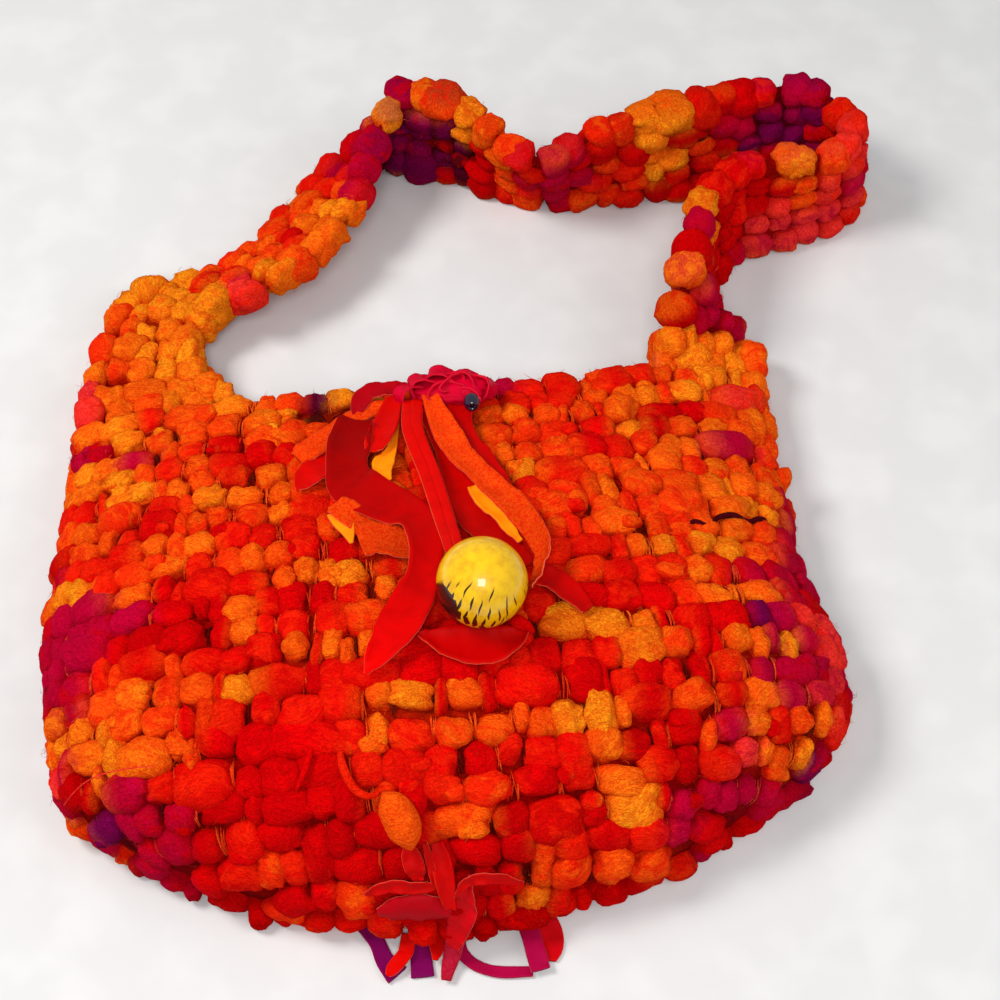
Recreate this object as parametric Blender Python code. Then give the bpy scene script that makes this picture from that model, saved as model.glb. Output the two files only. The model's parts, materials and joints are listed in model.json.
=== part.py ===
"""A small shoulder purse of thick felted yarn, lying on its back, with its strap, tie and ball button.

The body is a hollow pouch worked in rows, open at its mouth. The strap is one long band whose broad
ends are sewn to the two top corners of the mouth. A knotted leather thong over the rim carries a ball
button and a bunch of loose leather strips, and more strips hang from the bottom edge.

All tables are in millimetres and are turned to metres where the points are made. X runs across the
purse, Y from its bottom to its mouth and Z up from the surface that its back lies on.
"""

import math

import bmesh
import bpy
from mathutils import Vector

MM = 0.001
GAP = 0.35

# The pouch: its seam with the strap, its lowest point, and how far the bottom outline rises at the corners
SEAM_Y = 106.0
BOTTOM_Y = -112.0
CORNER_RISE = 53.0
ROW_SAG = 20.0
OUTLINE_X = 140.0
CORNER_POWER = 16
FRONT_POWER = 2.4
BACK_ROUNDING = 14.0
BACK_ROUNDING_SHARE = 0.6
EDGE_HEIGHT = 14.0
EDGE_SHARE = 0.6
ROW_PITCH = 11.2
RIB = 2.0
FRONT_SPANS = 26
CROWN_STEPS = 8

# The height of the front along the middle of the purse, from the mouth to the bottom edge: y and z
CROWN = (
    (SEAM_Y, 32), (85, 38), (60, 46), (20, 56), (-20, 62), (-50, 61),
    (-75, 53), (-92, 42), (-103, 29), (-109, 19), (BOTTOM_Y, 11),
)

# The reach of the two sides from the middle: y, left and right
SIDES = (
    (SEAM_Y, 137, 139), (70, 139, 137), (45, 140, 136.5), (20, 143.5, 136), (0, 144.5, 136),
    (-14, 144, 138.5), (-30, 143, 143), (-60, 141.5, 142), (BOTTOM_Y, 141, 142),
)

# The mouth: where it lies between the sewn corners, its two rims and the hollow behind it
MOUTH_LEFT = -48.0
MOUTH_RIGHT = 82.0
MOUTH_EASE = 20.0
RIM_DEPTH = 25.0
FRONT_RIM_DROP = 3.0
BACK_RIM_RISE = 8.0
WALL = 10.0
BACK_WALL = 9.5
HOLLOW_SIDE_WALL = 14.0
HOLLOW_MIDDLE = 13.5
HOLLOW_LEAST_RISE = 2.0
HOLLOW_POWER = 4
HOLLOW_SPANS = 14
HOLLOW_ROWS = (121, 103, 97, 88, 72, 50, 20, -10, -40, -62, -80, -92)
HOLLOW_WIDENING = 46.0

# The strap, from the left corner round to the right one. Its outer edge lies on the surface and its
# inner edge stands up, so that the band shows its outer face on the left and its inner face beyond.
STRAP_STEPS = 6
STRAP_PITCH = 12.2
STRAP_SIDES = 12
STRAP_SQUARE = 0.72
STRAP_GROOVE = 0.78
STRAP_GROOVE_WIDTH = 0.96
# The columns are x, y and z of the outer edge, x, y and z of the inner edge, and the thickness.
STRAP = (
    (-136.5, SEAM_Y + GAP, 11, -71, SEAM_Y + GAP, 11, 22),
    (-134, 128, 10, -80, 124, 12, 19),
    (-130, 148.5, 8, -87, 137, 14, 16),
    (-124, 168.5, 6, -86, 147, 17, 14),
    (-116, 182.5, 4, -78, 157, 19, 13),
    (-101, 190.5, 3, -70, 160, 22, 12),
    (-82, 195.5, 2.5, -57, 163.5, 26, 12),
    (-65, 208.5, 2.5, -39.5, 176, 26, 12),
    (-50, 227, 2, -23, 195, 26, 12),
    (-38.5, 243, 2, -15, 209.5, 29, 12),
    (-27, 252, 1.5, -10, 224, 36, 12),
    (-16, 257, 1, -4, 240, 43, 12),
    (-4, 256, 0.5, 3, 254, 47, 12),
    (8, 250, 0, 12, 258, 47, 12),
    (21, 247, 0, 23, 251, 47, 12),
    (35, 242, 0, 37, 238, 47, 12),
    (49, 234, 0, 48, 220, 44, 12),
    (63, 228, 0, 59, 211, 42, 12),
    (79, 226, 0, 72, 216, 45, 12),
    (94, 225, 0, 89, 226, 47, 12),
    (112, 224, 0, 108, 232, 47, 12),
    (135, 225, 0, 131, 237, 47, 12),
    (159, 226, 0, 156, 243, 46, 12),
    (183, 226, 0, 179, 245, 45, 12),
    (195.5, 220.5, 0, 190.5, 230, 46, 12),
    (200.5, 212, 0, 195.5, 213, 47, 12),
    (195, 202.5, 0, 189, 203, 47, 12),
    (180, 195, 0, 175.5, 200.5, 46, 12),
    (161, 188.5, 0, 159, 201.5, 45, 12),
    (146, 184.5, 0, 144, 201, 44, 12),
    (133, 175.5, 0, 127, 186, 46, 12),
    (126.5, 161, 0, 118, 163, 47, 12),
    (127, 147, 2, 111, 142, 46, 13),
    (134, 134, 6, 102, 128, 37, 15),
    (139, 121, 10, 96, 119, 21, 18),
    (139, SEAM_Y + GAP, 11, 94, SEAM_Y + GAP, 11, 22),
)

# The ball button and the small dark bead
BALL_RADIUS = 15.2
BALL_CENTRE = (13.0, -21.0, 79.9)
BALL_BORE_RADIUS = 3.6
BALL_BORE_DEPTH = 13.0
BALL_BORE_AIM = (-0.47, 0.86, -0.20)
BALL_RINGS = 18
BALL_SIDES = 28
BEAD_RADIUS = 3.1
BEAD_SIDES = 14
BEAD_RINGS = 9
BEAD_CENTRE = (19.5, 75.5, 50.9)

# The knot that sits on the front rim
KNOT_CENTRE = (11.0, 88.5, 47.0)
KNOT_RADII = (15.5, 9.0, 6.6)
KNOT_LOBES = 5
KNOT_LOBE_DEPTH = 0.10
KNOT_TWIST = 2.2
KNOT_SIDES = 30
KNOT_RINGS = 14

# Leather: its thickness, and the heights at which pieces lie over each other on the front
LEATHER = 1.4
LAYER = (3.2, 5.3, 7.4)
STEPS_PER_SPAN = 3
NORMAL_STEP = 2.0

# Strips on the front of the purse: the columns are x, y, height over the front and width
FRONT_STRIPS = {
    "strip_wide_left": (
        (-24, 77, 8.0, 10), (-29, 64, 6.8, 12), (-31, 48, 5.6, 12), (-26, 35, 5.4, 13), (-17, 29, 5.8, 14),
        (-9, 19, 6.6, 14), (-5, 6, 6.4, 13), (-7, -7, 5.8, 12.5), (-14, -21, 5.4, 11), (-21, -30, 5.0, 8),
        (-26, -39, 4.4, 3),
    ),
    "strip_wide_middle": (
        (0, 79, 3.4, 5), (2, 60, LAYER[0], 6), (8, 40, LAYER[0], 9), (15, 24, LAYER[0], 12),
        (22, 11, LAYER[0], 12), (28, 0, LAYER[0], 11),
    ),
    "strip_suede": (
        (5, 76, 9.0, 7), (6, 63, 8.4, 8), (10, 50, 8.4, 8), (16, 37, 8.4, 8), (24, 27, 8.4, 8.5),
        (31, 18, 8.6, 8.5), (36, 9, 9.0, 8.5), (38, -1, 8.6, 8), (35, -9, 7.8, 7.5), (30, -15, 6.4, 6),
    ),
    "strip_behind": (
        (13, 75, LAYER[1], 9), (14, 66, LAYER[1], 9), (16, 55, LAYER[1], 9), (21, 44, LAYER[1], 8),
        (26, 37, LAYER[1], 6),
    ),
    "strip_yellow": (
        (15, 31, 5.8, 4), (19, 24, 5.8, 5), (24, 16, 5.8, 5), (29, 7, 5.6, 4),
    ),
    "strip_short_left": (
        (-11.4, 79, 6.2, 8), (-14.9, 68, 6.2, 10), (-18.8, 56, 6.2, 8),
    ),
    "strip_sliver": (
        (-10, 71, 4.0, 3), (-13, 58, 3.6, 5.5), (-17, 46, 3.3, 3),
    ),
    "strip_leaf": (
        (-14, 80.5, 4.2, 7), (-23, 79, 4.9, 9), (-33, 73, 5.0, 9), (-42, 65, 4.6, 8.5), (-49, 60, 4.2, 5),
    ),
    "strip_under_leaf": (
        (-28, 66, LAYER[0], 9), (-36, 56, LAYER[0], 9.5), (-44, 45, LAYER[0], 5),
    ),
    "flap_rim": (
        (-6.5, 89, LAYER[2], 7), (-14, 90, LAYER[2], 8), (-22, 89, 6.6, 6),
    ),
    "strip_folded": (
        (-33, 13, LAYER[0], 4), (-35, 22, 3.3, 7), (-31, 28.5, 3.4, 9), (-25, 21, 3.3, 11),
        (-18, 11, LAYER[0], 12), (-9, 7, LAYER[0], 11),
    ),
    "flap_under_ball": (
        (-8, -30, LAYER[0], 3), (-2, -33.5, LAYER[0], 9), (6, -36, LAYER[0], 14), (14, -36.5, LAYER[0], 14.5),
        (21, -35, LAYER[0], 11), (26, -32, LAYER[0], 4),
    ),
    "strip_end_right": (
        (35, -8, LAYER[0], 7), (41, -14, LAYER[0], 8), (48, -22, LAYER[0], 5),
    ),
    "hem_flap_left": (
        (-32, -97, LAYER[0], 3.5), (-24, -98, LAYER[0], 6), (-15.5, -99.5, LAYER[0], 4.5),
    ),
    "hem_flap_middle": (
        (-7, -91, LAYER[1], 5), (-9, -98, LAYER[1], 6), (-11, -104, LAYER[1], 5),
    ),
    "hem_flap_right": (
        (-3, -98, LAYER[0], 2.5), (4.2, -97.4, LAYER[0], 4), (13.6, -99.5, LAYER[0], 3),
    ),
}

# The doubled thong that carries the ball, from the knot into the ball's bore: x, y, z and width
THONG_THICKNESS = 3.0
THONG = (
    (-5, 79, 49.2, 5.4), (-6, 63, 55.2, 5.2), (-1.5, 38, 61.0, 5.0), (1.5, 16, 67.0, 4.8),
    (3.4, 4, 72.0, 4.6), (5.0, -4.8, 76.2, 4.4), (7.6, -11.2, 77.4, 4.2),
)

# Strips that come from under the bottom edge and lie level on the surface: x, y, z and width
HEM_STRIPS = {
    "hem_strip_1": ((-33, -107, 0.75, 5), (-30, -114, 0.75, 5), (-25.5, -122.5, 0.75, 4.5)),
    "hem_strip_2": ((-19, -110, 2.95, 4.5), (-22, -115, 2.95, 4.5), (-26, -121, 2.95, 4)),
    "hem_strip_3": ((-16, -107, 0.75, 8), (-17, -115, 0.75, 8.5), (-18, -124, 0.75, 9)),
    "hem_strip_4": ((-13, -110, 2.95, 4.5), (-13.5, -115, 2.95, 3)),
    "hem_strip_5": (
        (-4, -108, 0.75, 4), (-2, -118, 0.75, 4.5), (3, -123, 0.75, 4.5), (11, -125.5, 0.75, 4.5),
        (19, -126, 0.75, 4),
    ),
    "hem_strip_6": ((22, -110.5, 2.95, 8), (21.5, -117, 2.95, 9), (21, -126, 2.95, 9)),
    "hem_strip_7": ((28, -107, 0.75, 5), (27.5, -116, 0.75, 6), (27, -124, 0.75, 5.5)),
}

# The strip that is drawn out through the front and hangs over the bottom edge
OVER_EDGE_STRIP = (
    (-2.2, -102.8, 36.3, 3), (-3, -106.3, 31.8, 8.5), (-5, -113, 21.2, 9), (-6.5, -116.8, 12.0, 7),
    (-8, -120.0, 5.6, 5.5), (-9.5, -123.6, 3.1, 5), (-10, -127, 2.95, 4),
)

COLOURS = {
    "yarn": (0.72, 0.10, 0.02, 1.0),
    "strap_yarn": (0.76, 0.16, 0.03, 1.0),
    "leather_red": (0.55, 0.01, 0.01, 1.0),
    "leather_suede": (0.80, 0.20, 0.03, 1.0),
    "leather_purple": (0.25, 0.01, 0.08, 1.0),
    "ball_glaze": (0.80, 0.60, 0.03, 1.0),
    "dark_glass": (0.01, 0.01, 0.04, 1.0),
}
ROUGHNESS = {
    "yarn": 0.95,
    "strap_yarn": 0.95,
    "leather_red": 0.6,
    "leather_suede": 0.85,
    "leather_purple": 0.6,
    "ball_glaze": 0.12,
    "dark_glass": 0.08,
}
SUEDE_PIECES = ("strip_suede", "strip_yellow", "strip_sliver", "strip_leaf", "strip_folded")


def clear_scene():
    """Remove every object that the file opened with."""
    for item in list(bpy.data.objects):
        bpy.data.objects.remove(item, do_unlink=True)


def make_material(name):
    """One finish: a Principled shader with the piece's colour and roughness."""
    material = bpy.data.materials.new(name)
    material.use_nodes = True
    shader = material.node_tree.nodes["Principled BSDF"]
    shader.inputs["Base Color"].default_value = COLOURS[name]
    shader.inputs["Roughness"].default_value = ROUGHNESS[name]
    shader.inputs["Metallic"].default_value = 0.0
    return material


def table_value(table, key, column):
    """The value of one column at a key of the first column, straight between the rows."""
    rows = sorted(table)
    if key <= rows[0][0]:
        return float(rows[0][column])
    for low, high in zip(rows, rows[1:]):
        if key <= high[0]:
            share = (key - low[0]) / (high[0] - low[0])
            return low[column] + share * (high[column] - low[column])
    return float(rows[-1][column])


def curve_value(t, before, start, end, after):
    """A value between start and end on the smooth curve through all four."""
    slope = end - before
    bend = 2 * before - 5 * start + 4 * end - after
    twist = 3 * start - before - 3 * end + after
    return 0.5 * (2 * start + slope * t + bend * t ** 2 + twist * t ** 3)


def smooth_rows(rows, steps):
    """Rows along a smooth curve through the given rows, with `steps` to each span."""
    out = []
    last = len(rows) - 1
    for index in range(last):
        before = rows[max(index - 1, 0)]
        start = rows[index]
        end = rows[index + 1]
        after = rows[min(index + 2, last)]
        for step in range(steps):
            t = step / steps
            out.append(tuple(curve_value(t, *values) for values in zip(before, start, end, after)))
    out.append(tuple(float(v) for v in rows[last]))
    return out


def even_rows(rows, places, count):
    """Rows at `count` + 1 even distances along the line that `places` gives for the rows."""
    travelled = [0.0]
    for here, there in zip(places, places[1:]):
        travelled.append(travelled[-1] + (there - here).length)
    out = []
    span = 0
    for index in range(count + 1):
        goal = travelled[-1] * index / count
        while span < len(places) - 2 and travelled[span + 1] < goal:
            span += 1
        share = (goal - travelled[span]) / max(travelled[span + 1] - travelled[span], 1e-9)
        share = min(max(share, 0.0), 1.0)
        out.append(tuple(a + share * (b - a) for a, b in zip(rows[span], rows[span + 1])))
    return out


def ease(value):
    """A smooth step from 0 to 1."""
    value = min(max(value, 0.0), 1.0)
    return value * value * (3 - 2 * value)


def sag(row_y):
    """How far a row's ends lie above its middle."""
    return ROW_SAG * max((SEAM_Y - row_y) / (SEAM_Y - BOTTOM_Y), 0.0) ** 1.5


def reach(row_y, x):
    """The half width of a row on the side where x lies: the side's own, or the rounded bottom outline's."""
    share = max((row_y - BOTTOM_Y) / (CORNER_RISE - sag(row_y)), 1e-4)
    outline = OUTLINE_X * math.sqrt(share)
    side = table_value(SIDES, row_y, 1 if x < 0 else 2)
    return (outline ** -CORNER_POWER + side ** -CORNER_POWER) ** (-1 / CORNER_POWER)


def edge_height(crown):
    """The height at which the front and the back meet at a row's ends."""
    return min(EDGE_HEIGHT, EDGE_SHARE * crown)


CROWN_LINE = smooth_rows(CROWN, CROWN_STEPS)


def crown_height(row_y):
    """The height of the front along the middle of the purse, on a smooth curve through its table."""
    return table_value(CROWN_LINE, row_y, 1)


def row_through(x, y):
    """The middle height of the row that runs through a place seen from above."""
    row_y = y
    for _ in range(16):
        row_y = y - sag(row_y) * (x / OUTLINE_X) ** 2
    return min(max(row_y, BOTTOM_Y), SEAM_Y)


def front_height(x, y):
    """The height of the front over the surface that the purse lies on."""
    row_y = row_through(x, y)
    crown = crown_height(row_y)
    low = edge_height(crown)
    share = min(abs(x) / reach(row_y, x), 1.0)
    return low + (crown - low) * math.sqrt(1 - share ** FRONT_POWER)


def front_normal(x, y):
    """The direction that the front faces, without its rows."""
    slope_x = (front_height(x + NORMAL_STEP, y) - front_height(x - NORMAL_STEP, y)) / (2 * NORMAL_STEP)
    slope_y = (front_height(x, y + NORMAL_STEP) - front_height(x, y - NORMAL_STEP)) / (2 * NORMAL_STEP)
    return Vector((-slope_x, -slope_y, 1.0)).normalized()


def mouth_share(x):
    """1 along the open mouth and 0 along the sewn corners."""
    from_left = ease((x - MOUTH_LEFT + MOUTH_EASE / 2) / MOUTH_EASE)
    from_right = ease((MOUTH_RIGHT + MOUTH_EASE / 2 - x) / MOUTH_EASE)
    return from_left * from_right


def close_end(mesh, loop):
    """Close a ring with a ladder of faces between its two long sides, which start at its first point."""
    half = len(loop) // 2
    mesh.faces.new((loop[0], loop[1], loop[-1]))
    for i in range(1, half - 1):
        mesh.faces.new((loop[i], loop[i + 1], loop[-i - 1], loop[-i]))
    mesh.faces.new((loop[half - 1], loop[half], loop[half + 1]))


def loft(rings):
    """A closed mesh through rings of equal even count."""
    mesh = bmesh.new()
    loops = [[mesh.verts.new(Vector(p) * MM) for p in ring] for ring in rings]
    count = len(loops[0])
    for here, there in zip(loops, loops[1:]):
        for i in range(count):
            j = (i + 1) % count
            mesh.faces.new((here[i], here[j], there[j], there[i]))
    close_end(mesh, loops[0])
    close_end(mesh, loops[-1])
    return mesh


def finish_solid(name, mesh, material, flat_angle=50.0):
    """Turn a closed bmesh into a named object with outward faces and one finish."""
    bmesh.ops.recalc_face_normals(mesh, faces=mesh.faces)
    data = bpy.data.meshes.new(name)
    mesh.to_mesh(data)
    mesh.free()
    data.shade_smooth()
    data.set_sharp_from_angle(angle=math.radians(flat_angle))
    data.materials.append(material)
    item = bpy.data.objects.new(name, data)
    bpy.context.scene.collection.objects.link(item)
    return item


def body_ring(row_y, crown, rib):
    """One closed ring round the pouch: the front from left to right, then the back."""
    low = edge_height(crown)
    from_tip = row_y - BOTTOM_Y
    lifted = min(max((BACK_ROUNDING - from_tip) / BACK_ROUNDING, 0.0), 1.0)
    back_rise = 1 - math.sqrt(1 - lifted ** 2)
    rim = max(1 - (SEAM_Y - row_y) / RIM_DEPTH, 0.0)
    spans = [math.sin(math.pi / 2 * (2 * i / FRONT_SPANS - 1)) for i in range(FRONT_SPANS + 1)]

    def place_y(x, rim_shift):
        return row_y + sag(row_y) * (x / OUTLINE_X) ** 2 + rim * mouth_share(x) * rim_shift

    ring = []
    for u in spans:
        x = u * (reach(row_y, u) + rib)
        z = low + (crown + rib - low) * math.sqrt(1 - abs(u) ** FRONT_POWER)
        ring.append((x, place_y(x, -FRONT_RIM_DROP), z))
    for u in reversed(spans[1:-1]):
        half = reach(row_y, u) + rib
        rounding = min(BACK_ROUNDING, BACK_ROUNDING_SHARE * half)
        x = u * half
        inward = min((half - abs(x)) / rounding, 1.0)
        drop = math.sqrt(1 - (1 - inward) ** 2)
        ring.append((x, place_y(x, BACK_RIM_RISE), low * (1 - (1 - back_rise) * drop)))
    return ring


def body_rows():
    """The pouch's rings, a crest in the middle of each row and a groove between rows."""
    places = [Vector(p) for p in CROWN_LINE]
    length = sum((b - a).length for a, b in zip(places, places[1:]))
    rows = round(length / ROW_PITCH)
    even = even_rows(CROWN_LINE, places, 2 * rows)
    rings = []
    for index, (row_y, crown) in enumerate(even[:-1]):
        rib = RIB if index % 2 else -RIB
        rings.append(body_ring(row_y, crown, rib if index else 0.0))
    return rings


def hollow_ring(row_y):
    """One ring of the hollow: the front's inner side from left to right, then the back's."""
    if row_y > SEAM_Y:
        left, right = MOUTH_LEFT, MOUTH_RIGHT
    else:
        wide = ease((SEAM_Y - row_y) / HOLLOW_WIDENING)
        left = MOUTH_LEFT + wide * (-(reach(row_y, -1) - HOLLOW_SIDE_WALL) - MOUTH_LEFT)
        right = MOUTH_RIGHT + wide * (reach(row_y, 1) - HOLLOW_SIDE_WALL - MOUTH_RIGHT)
    ring = []
    for i in range(HOLLOW_SPANS + 1):
        share = math.sin(math.pi / 2 * (2 * i / HOLLOW_SPANS - 1))
        x = (left + right) / 2 + share * (right - left) / 2
        top = front_height(x, min(row_y, SEAM_Y)) - WALL
        rise = max(top - HOLLOW_MIDDLE, HOLLOW_LEAST_RISE)
        ring.append((x, row_y, HOLLOW_MIDDLE + rise * math.sqrt(1 - share ** HOLLOW_POWER)))
    for i in range(HOLLOW_SPANS - 1, 0, -1):
        share = math.sin(math.pi / 2 * (2 * i / HOLLOW_SPANS - 1))
        x = (left + right) / 2 + share * (right - left) / 2
        fall = HOLLOW_MIDDLE - BACK_WALL
        ring.append((x, row_y, HOLLOW_MIDDLE - fall * math.sqrt(1 - share ** HOLLOW_POWER)))
    return ring


def make_body(material):
    """The pouch: the ribbed outside with the hollow cut out through the mouth."""
    body = finish_solid("purse_body", loft(body_rows()), material)
    hollow = finish_solid("hollow_cutter", loft([hollow_ring(y) for y in HOLLOW_ROWS]), material)
    hollow.hide_render = True
    hollow.display_type = "WIRE"
    cut = body.modifiers.new("hollow", "BOOLEAN")
    cut.operation = "DIFFERENCE"
    cut.solver = "EXACT"
    cut.object = hollow
    return body


def strap_section(low, high, thickness, along, rib):
    """One ring round the band: a flattened round section between its two edges."""
    middle = (low + high) / 2
    half = (high - low) / 2
    face = half.cross(along).normalized() * thickness / 2
    width_scale = 1.0 if rib else STRAP_GROOVE_WIDTH
    face_scale = 1.0 if rib else STRAP_GROOVE
    ring = []
    for i in range(STRAP_SIDES):
        angle = 2 * math.pi * i / STRAP_SIDES
        c, s = math.cos(angle), math.sin(angle)
        across = math.copysign(abs(c) ** STRAP_SQUARE, c) * width_scale
        through = math.copysign(abs(s) ** STRAP_SQUARE, s) * face_scale
        point = middle + half * across + face * through
        ring.append((point.x, point.y, max(point.z, 0.0)))
    return ring


def make_strap(material):
    """The strap: a ribbed band swept along its two edges, from one sewn end to the other."""
    fine = smooth_rows(STRAP, STRAP_STEPS)
    middles = [Vector(((r[0] + r[3]) / 2, (r[1] + r[4]) / 2, (r[2] + r[5]) / 2)) for r in fine]
    length = sum((b - a).length for a, b in zip(middles, middles[1:]))
    count = 2 * round(length / STRAP_PITCH)
    rows = even_rows(fine, middles, count)
    lows = [Vector(r[0:3]) for r in rows]
    highs = [Vector(r[3:6]) for r in rows]
    rings = []
    for index, row in enumerate(rows):
        before = max(index - 1, 0)
        after = min(index + 1, count)
        along = (lows[after] + highs[after] - lows[before] - highs[before]).normalized()
        if index in (0, count):
            along = Vector((0.0, 1.0 if index == 0 else -1.0, 0.0))
        on_rib = index % 2 == 1 or index in (0, count)
        rings.append(strap_section(lows[index], highs[index], row[6], along, on_rib))
    return finish_solid("shoulder_strap", loft(rings), material)


def ribbon(name, path, normals, thickness, material):
    """A flat strip along a path of (place, width), square to the direction that each place faces."""
    rings = []
    last = len(path) - 1
    for index, (place, width) in enumerate(path):
        along = (path[min(index + 1, last)][0] - path[max(index - 1, 0)][0]).normalized()
        across = normals[index].cross(along).normalized() * width / 2
        up = along.cross(across).normalized() * thickness / 2
        if up.z < 0:
            up = -up
        rings.append([place - across - up, place + across - up, place + across + up, place - across + up])
    return finish_solid(name, loft(rings), material)


def make_front_strip(name, rows, material):
    """A strip that lies over the front at the heights that its table gives."""
    path = []
    normals = []
    for x, y, lift, width in smooth_rows(rows, STEPS_PER_SPAN):
        normal = front_normal(x, y)
        place = Vector((x, y, front_height(x, y))) + normal * lift
        path.append((place, width))
        normals.append(normal)
    return ribbon(name, path, normals, LEATHER, material)


def make_free_strip(name, rows, thickness, material):
    """A strip along its own places, with its flat side up."""
    path = [(Vector(row[0:3]), row[3]) for row in smooth_rows(rows, STEPS_PER_SPAN)]
    normals = []
    last = len(path) - 1
    for index in range(last + 1):
        along = (path[min(index + 1, last)][0] - path[max(index - 1, 0)][0]).normalized()
        side = along.cross(Vector((0, 0, 1))).normalized()
        normals.append(side.cross(along).normalized())
    return ribbon(name, path, normals, thickness, material)


def make_ball(material):
    """The ball button with the blind hole that its thong is fixed in."""
    mesh = bmesh.new()
    profile = [(0.0, -BALL_RADIUS)]
    mouth_angle = math.asin(BALL_BORE_RADIUS / BALL_RADIUS)
    for i in range(1, BALL_RINGS + 1):
        angle = (math.pi - mouth_angle) * i / BALL_RINGS
        profile.append((BALL_RADIUS * math.sin(angle), -BALL_RADIUS * math.cos(angle)))
    floor = BALL_RADIUS * math.cos(mouth_angle) - BALL_BORE_DEPTH
    profile.append((BALL_BORE_RADIUS, floor))
    profile.append((0.0, floor))
    verts = [mesh.verts.new(Vector((r, 0.0, z)) * MM) for r, z in profile]
    edges = [mesh.edges.new(pair) for pair in zip(verts, verts[1:])]
    bmesh.ops.spin(mesh, geom=verts + edges, cent=(0, 0, 0), axis=(0, 0, 1), angle=2 * math.pi,
                   steps=BALL_SIDES, use_duplicate=False, use_merge=True)
    bmesh.ops.remove_doubles(mesh, verts=mesh.verts, dist=1e-6)
    ball = finish_solid("ball_button", mesh, material)
    aim = Vector(BALL_BORE_AIM).normalized()
    ball.rotation_mode = "QUATERNION"
    ball.rotation_quaternion = Vector((0, 0, 1)).rotation_difference(aim)
    ball.location = Vector(BALL_CENTRE) * MM
    return ball


def make_bead(material):
    """The small dark bead beside the knot."""
    mesh = bmesh.new()
    bmesh.ops.create_uvsphere(mesh, u_segments=BEAD_SIDES, v_segments=BEAD_RINGS, radius=BEAD_RADIUS * MM)
    bead = finish_solid("dark_bead", mesh, material)
    bead.location = Vector(BEAD_CENTRE) * MM
    return bead


def make_knot(material):
    """The bunched knot: a low mound with folds that run round it."""
    mesh = bmesh.new()
    bmesh.ops.create_uvsphere(mesh, u_segments=KNOT_SIDES, v_segments=KNOT_RINGS, radius=1.0)
    for vert in mesh.verts:
        x, y, z = vert.co
        turn = math.atan2(y, x)
        fold = math.cos(KNOT_LOBES * turn + KNOT_TWIST * z) * math.sqrt(max(1 - z * z, 0.0))
        scale = 1 + KNOT_LOBE_DEPTH * (fold - 1)
        vert.co = Vector((x * KNOT_RADII[0], y * KNOT_RADII[1], z * KNOT_RADII[2])) * scale * MM
    knot = finish_solid("tie_knot", mesh, material)
    knot.location = Vector(KNOT_CENTRE) * MM
    return knot


def main():
    """Build every piece of the purse."""
    clear_scene()
    finish = {name: make_material(name) for name in COLOURS}
    make_body(finish["yarn"])
    make_strap(finish["strap_yarn"])
    make_ball(finish["ball_glaze"])
    make_bead(finish["dark_glass"])
    make_knot(finish["leather_red"])
    make_free_strip("button_thong", THONG, THONG_THICKNESS, finish["leather_red"])
    for name, rows in FRONT_STRIPS.items():
        make_front_strip(name, rows, finish["leather_suede" if name in SUEDE_PIECES else "leather_red"])
    for name, rows in HEM_STRIPS.items():
        make_free_strip(name, rows, LEATHER, finish["leather_purple"])
    make_free_strip("hem_strip_over_edge", OVER_EDGE_STRIP, LEATHER, finish["leather_red"])


main()
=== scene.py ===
"""The looks of the crochet purse: felted yarn, leather strips, ball button and bead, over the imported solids.

Every table is in millimetres, in the frame of the solids: X runs across the purse, Y from its bottom edge
to its mouth and Z up from the surface that its back lies on.
"""
from __future__ import annotations

import json
import logging
import math
from dataclasses import dataclass
from enum import Enum
from typing import Any, Sequence

import bpy
import numpy as np
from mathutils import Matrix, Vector


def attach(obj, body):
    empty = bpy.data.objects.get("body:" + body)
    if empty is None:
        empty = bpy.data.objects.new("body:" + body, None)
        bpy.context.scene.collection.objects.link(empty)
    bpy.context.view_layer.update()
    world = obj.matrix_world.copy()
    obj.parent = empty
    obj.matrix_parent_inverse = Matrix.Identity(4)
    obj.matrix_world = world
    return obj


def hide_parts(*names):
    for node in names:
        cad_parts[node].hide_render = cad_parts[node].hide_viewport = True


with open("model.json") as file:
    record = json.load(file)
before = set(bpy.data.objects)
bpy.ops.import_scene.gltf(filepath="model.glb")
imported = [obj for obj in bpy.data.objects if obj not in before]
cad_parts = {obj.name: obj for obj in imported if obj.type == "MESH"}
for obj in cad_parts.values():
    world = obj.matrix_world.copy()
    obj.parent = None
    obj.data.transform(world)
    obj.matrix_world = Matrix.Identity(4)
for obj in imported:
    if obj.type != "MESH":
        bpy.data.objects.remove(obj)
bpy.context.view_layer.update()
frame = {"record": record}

log = logging.getLogger("purse")

MM = 0.001
ROOT = "root"

# The least height of any point, and how many points the front half of a row has
FLOOR_CLEARANCE = 0.06
FRONT_POINTS = 121
NO_TRIS = np.zeros((0, 3), int)

Array = np.ndarray
Row = tuple[float, ...]


def linear(colour: Sequence[float]) -> Array:
    """Turn a screen colour, whose parts go from 0 to 1, into the linear one that shaders take."""
    values = np.asarray(colour, float)
    return np.where(values <= 0.04045, values / 12.92, ((values + 0.055) / 1.055) ** 2.4)


def ease(values: Any) -> Any:
    """A smooth step from 0 to 1, of a number or an array."""
    held = np.clip(values, 0.0, 1.0)
    return held * held * (3 - 2 * held)


def unit(vectors: Array) -> Array:
    """Scale vectors, which lie along an array's last axis, to length 1."""
    return vectors / np.maximum(np.linalg.norm(vectors, axis=-1, keepdims=True), 1e-9)


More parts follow.
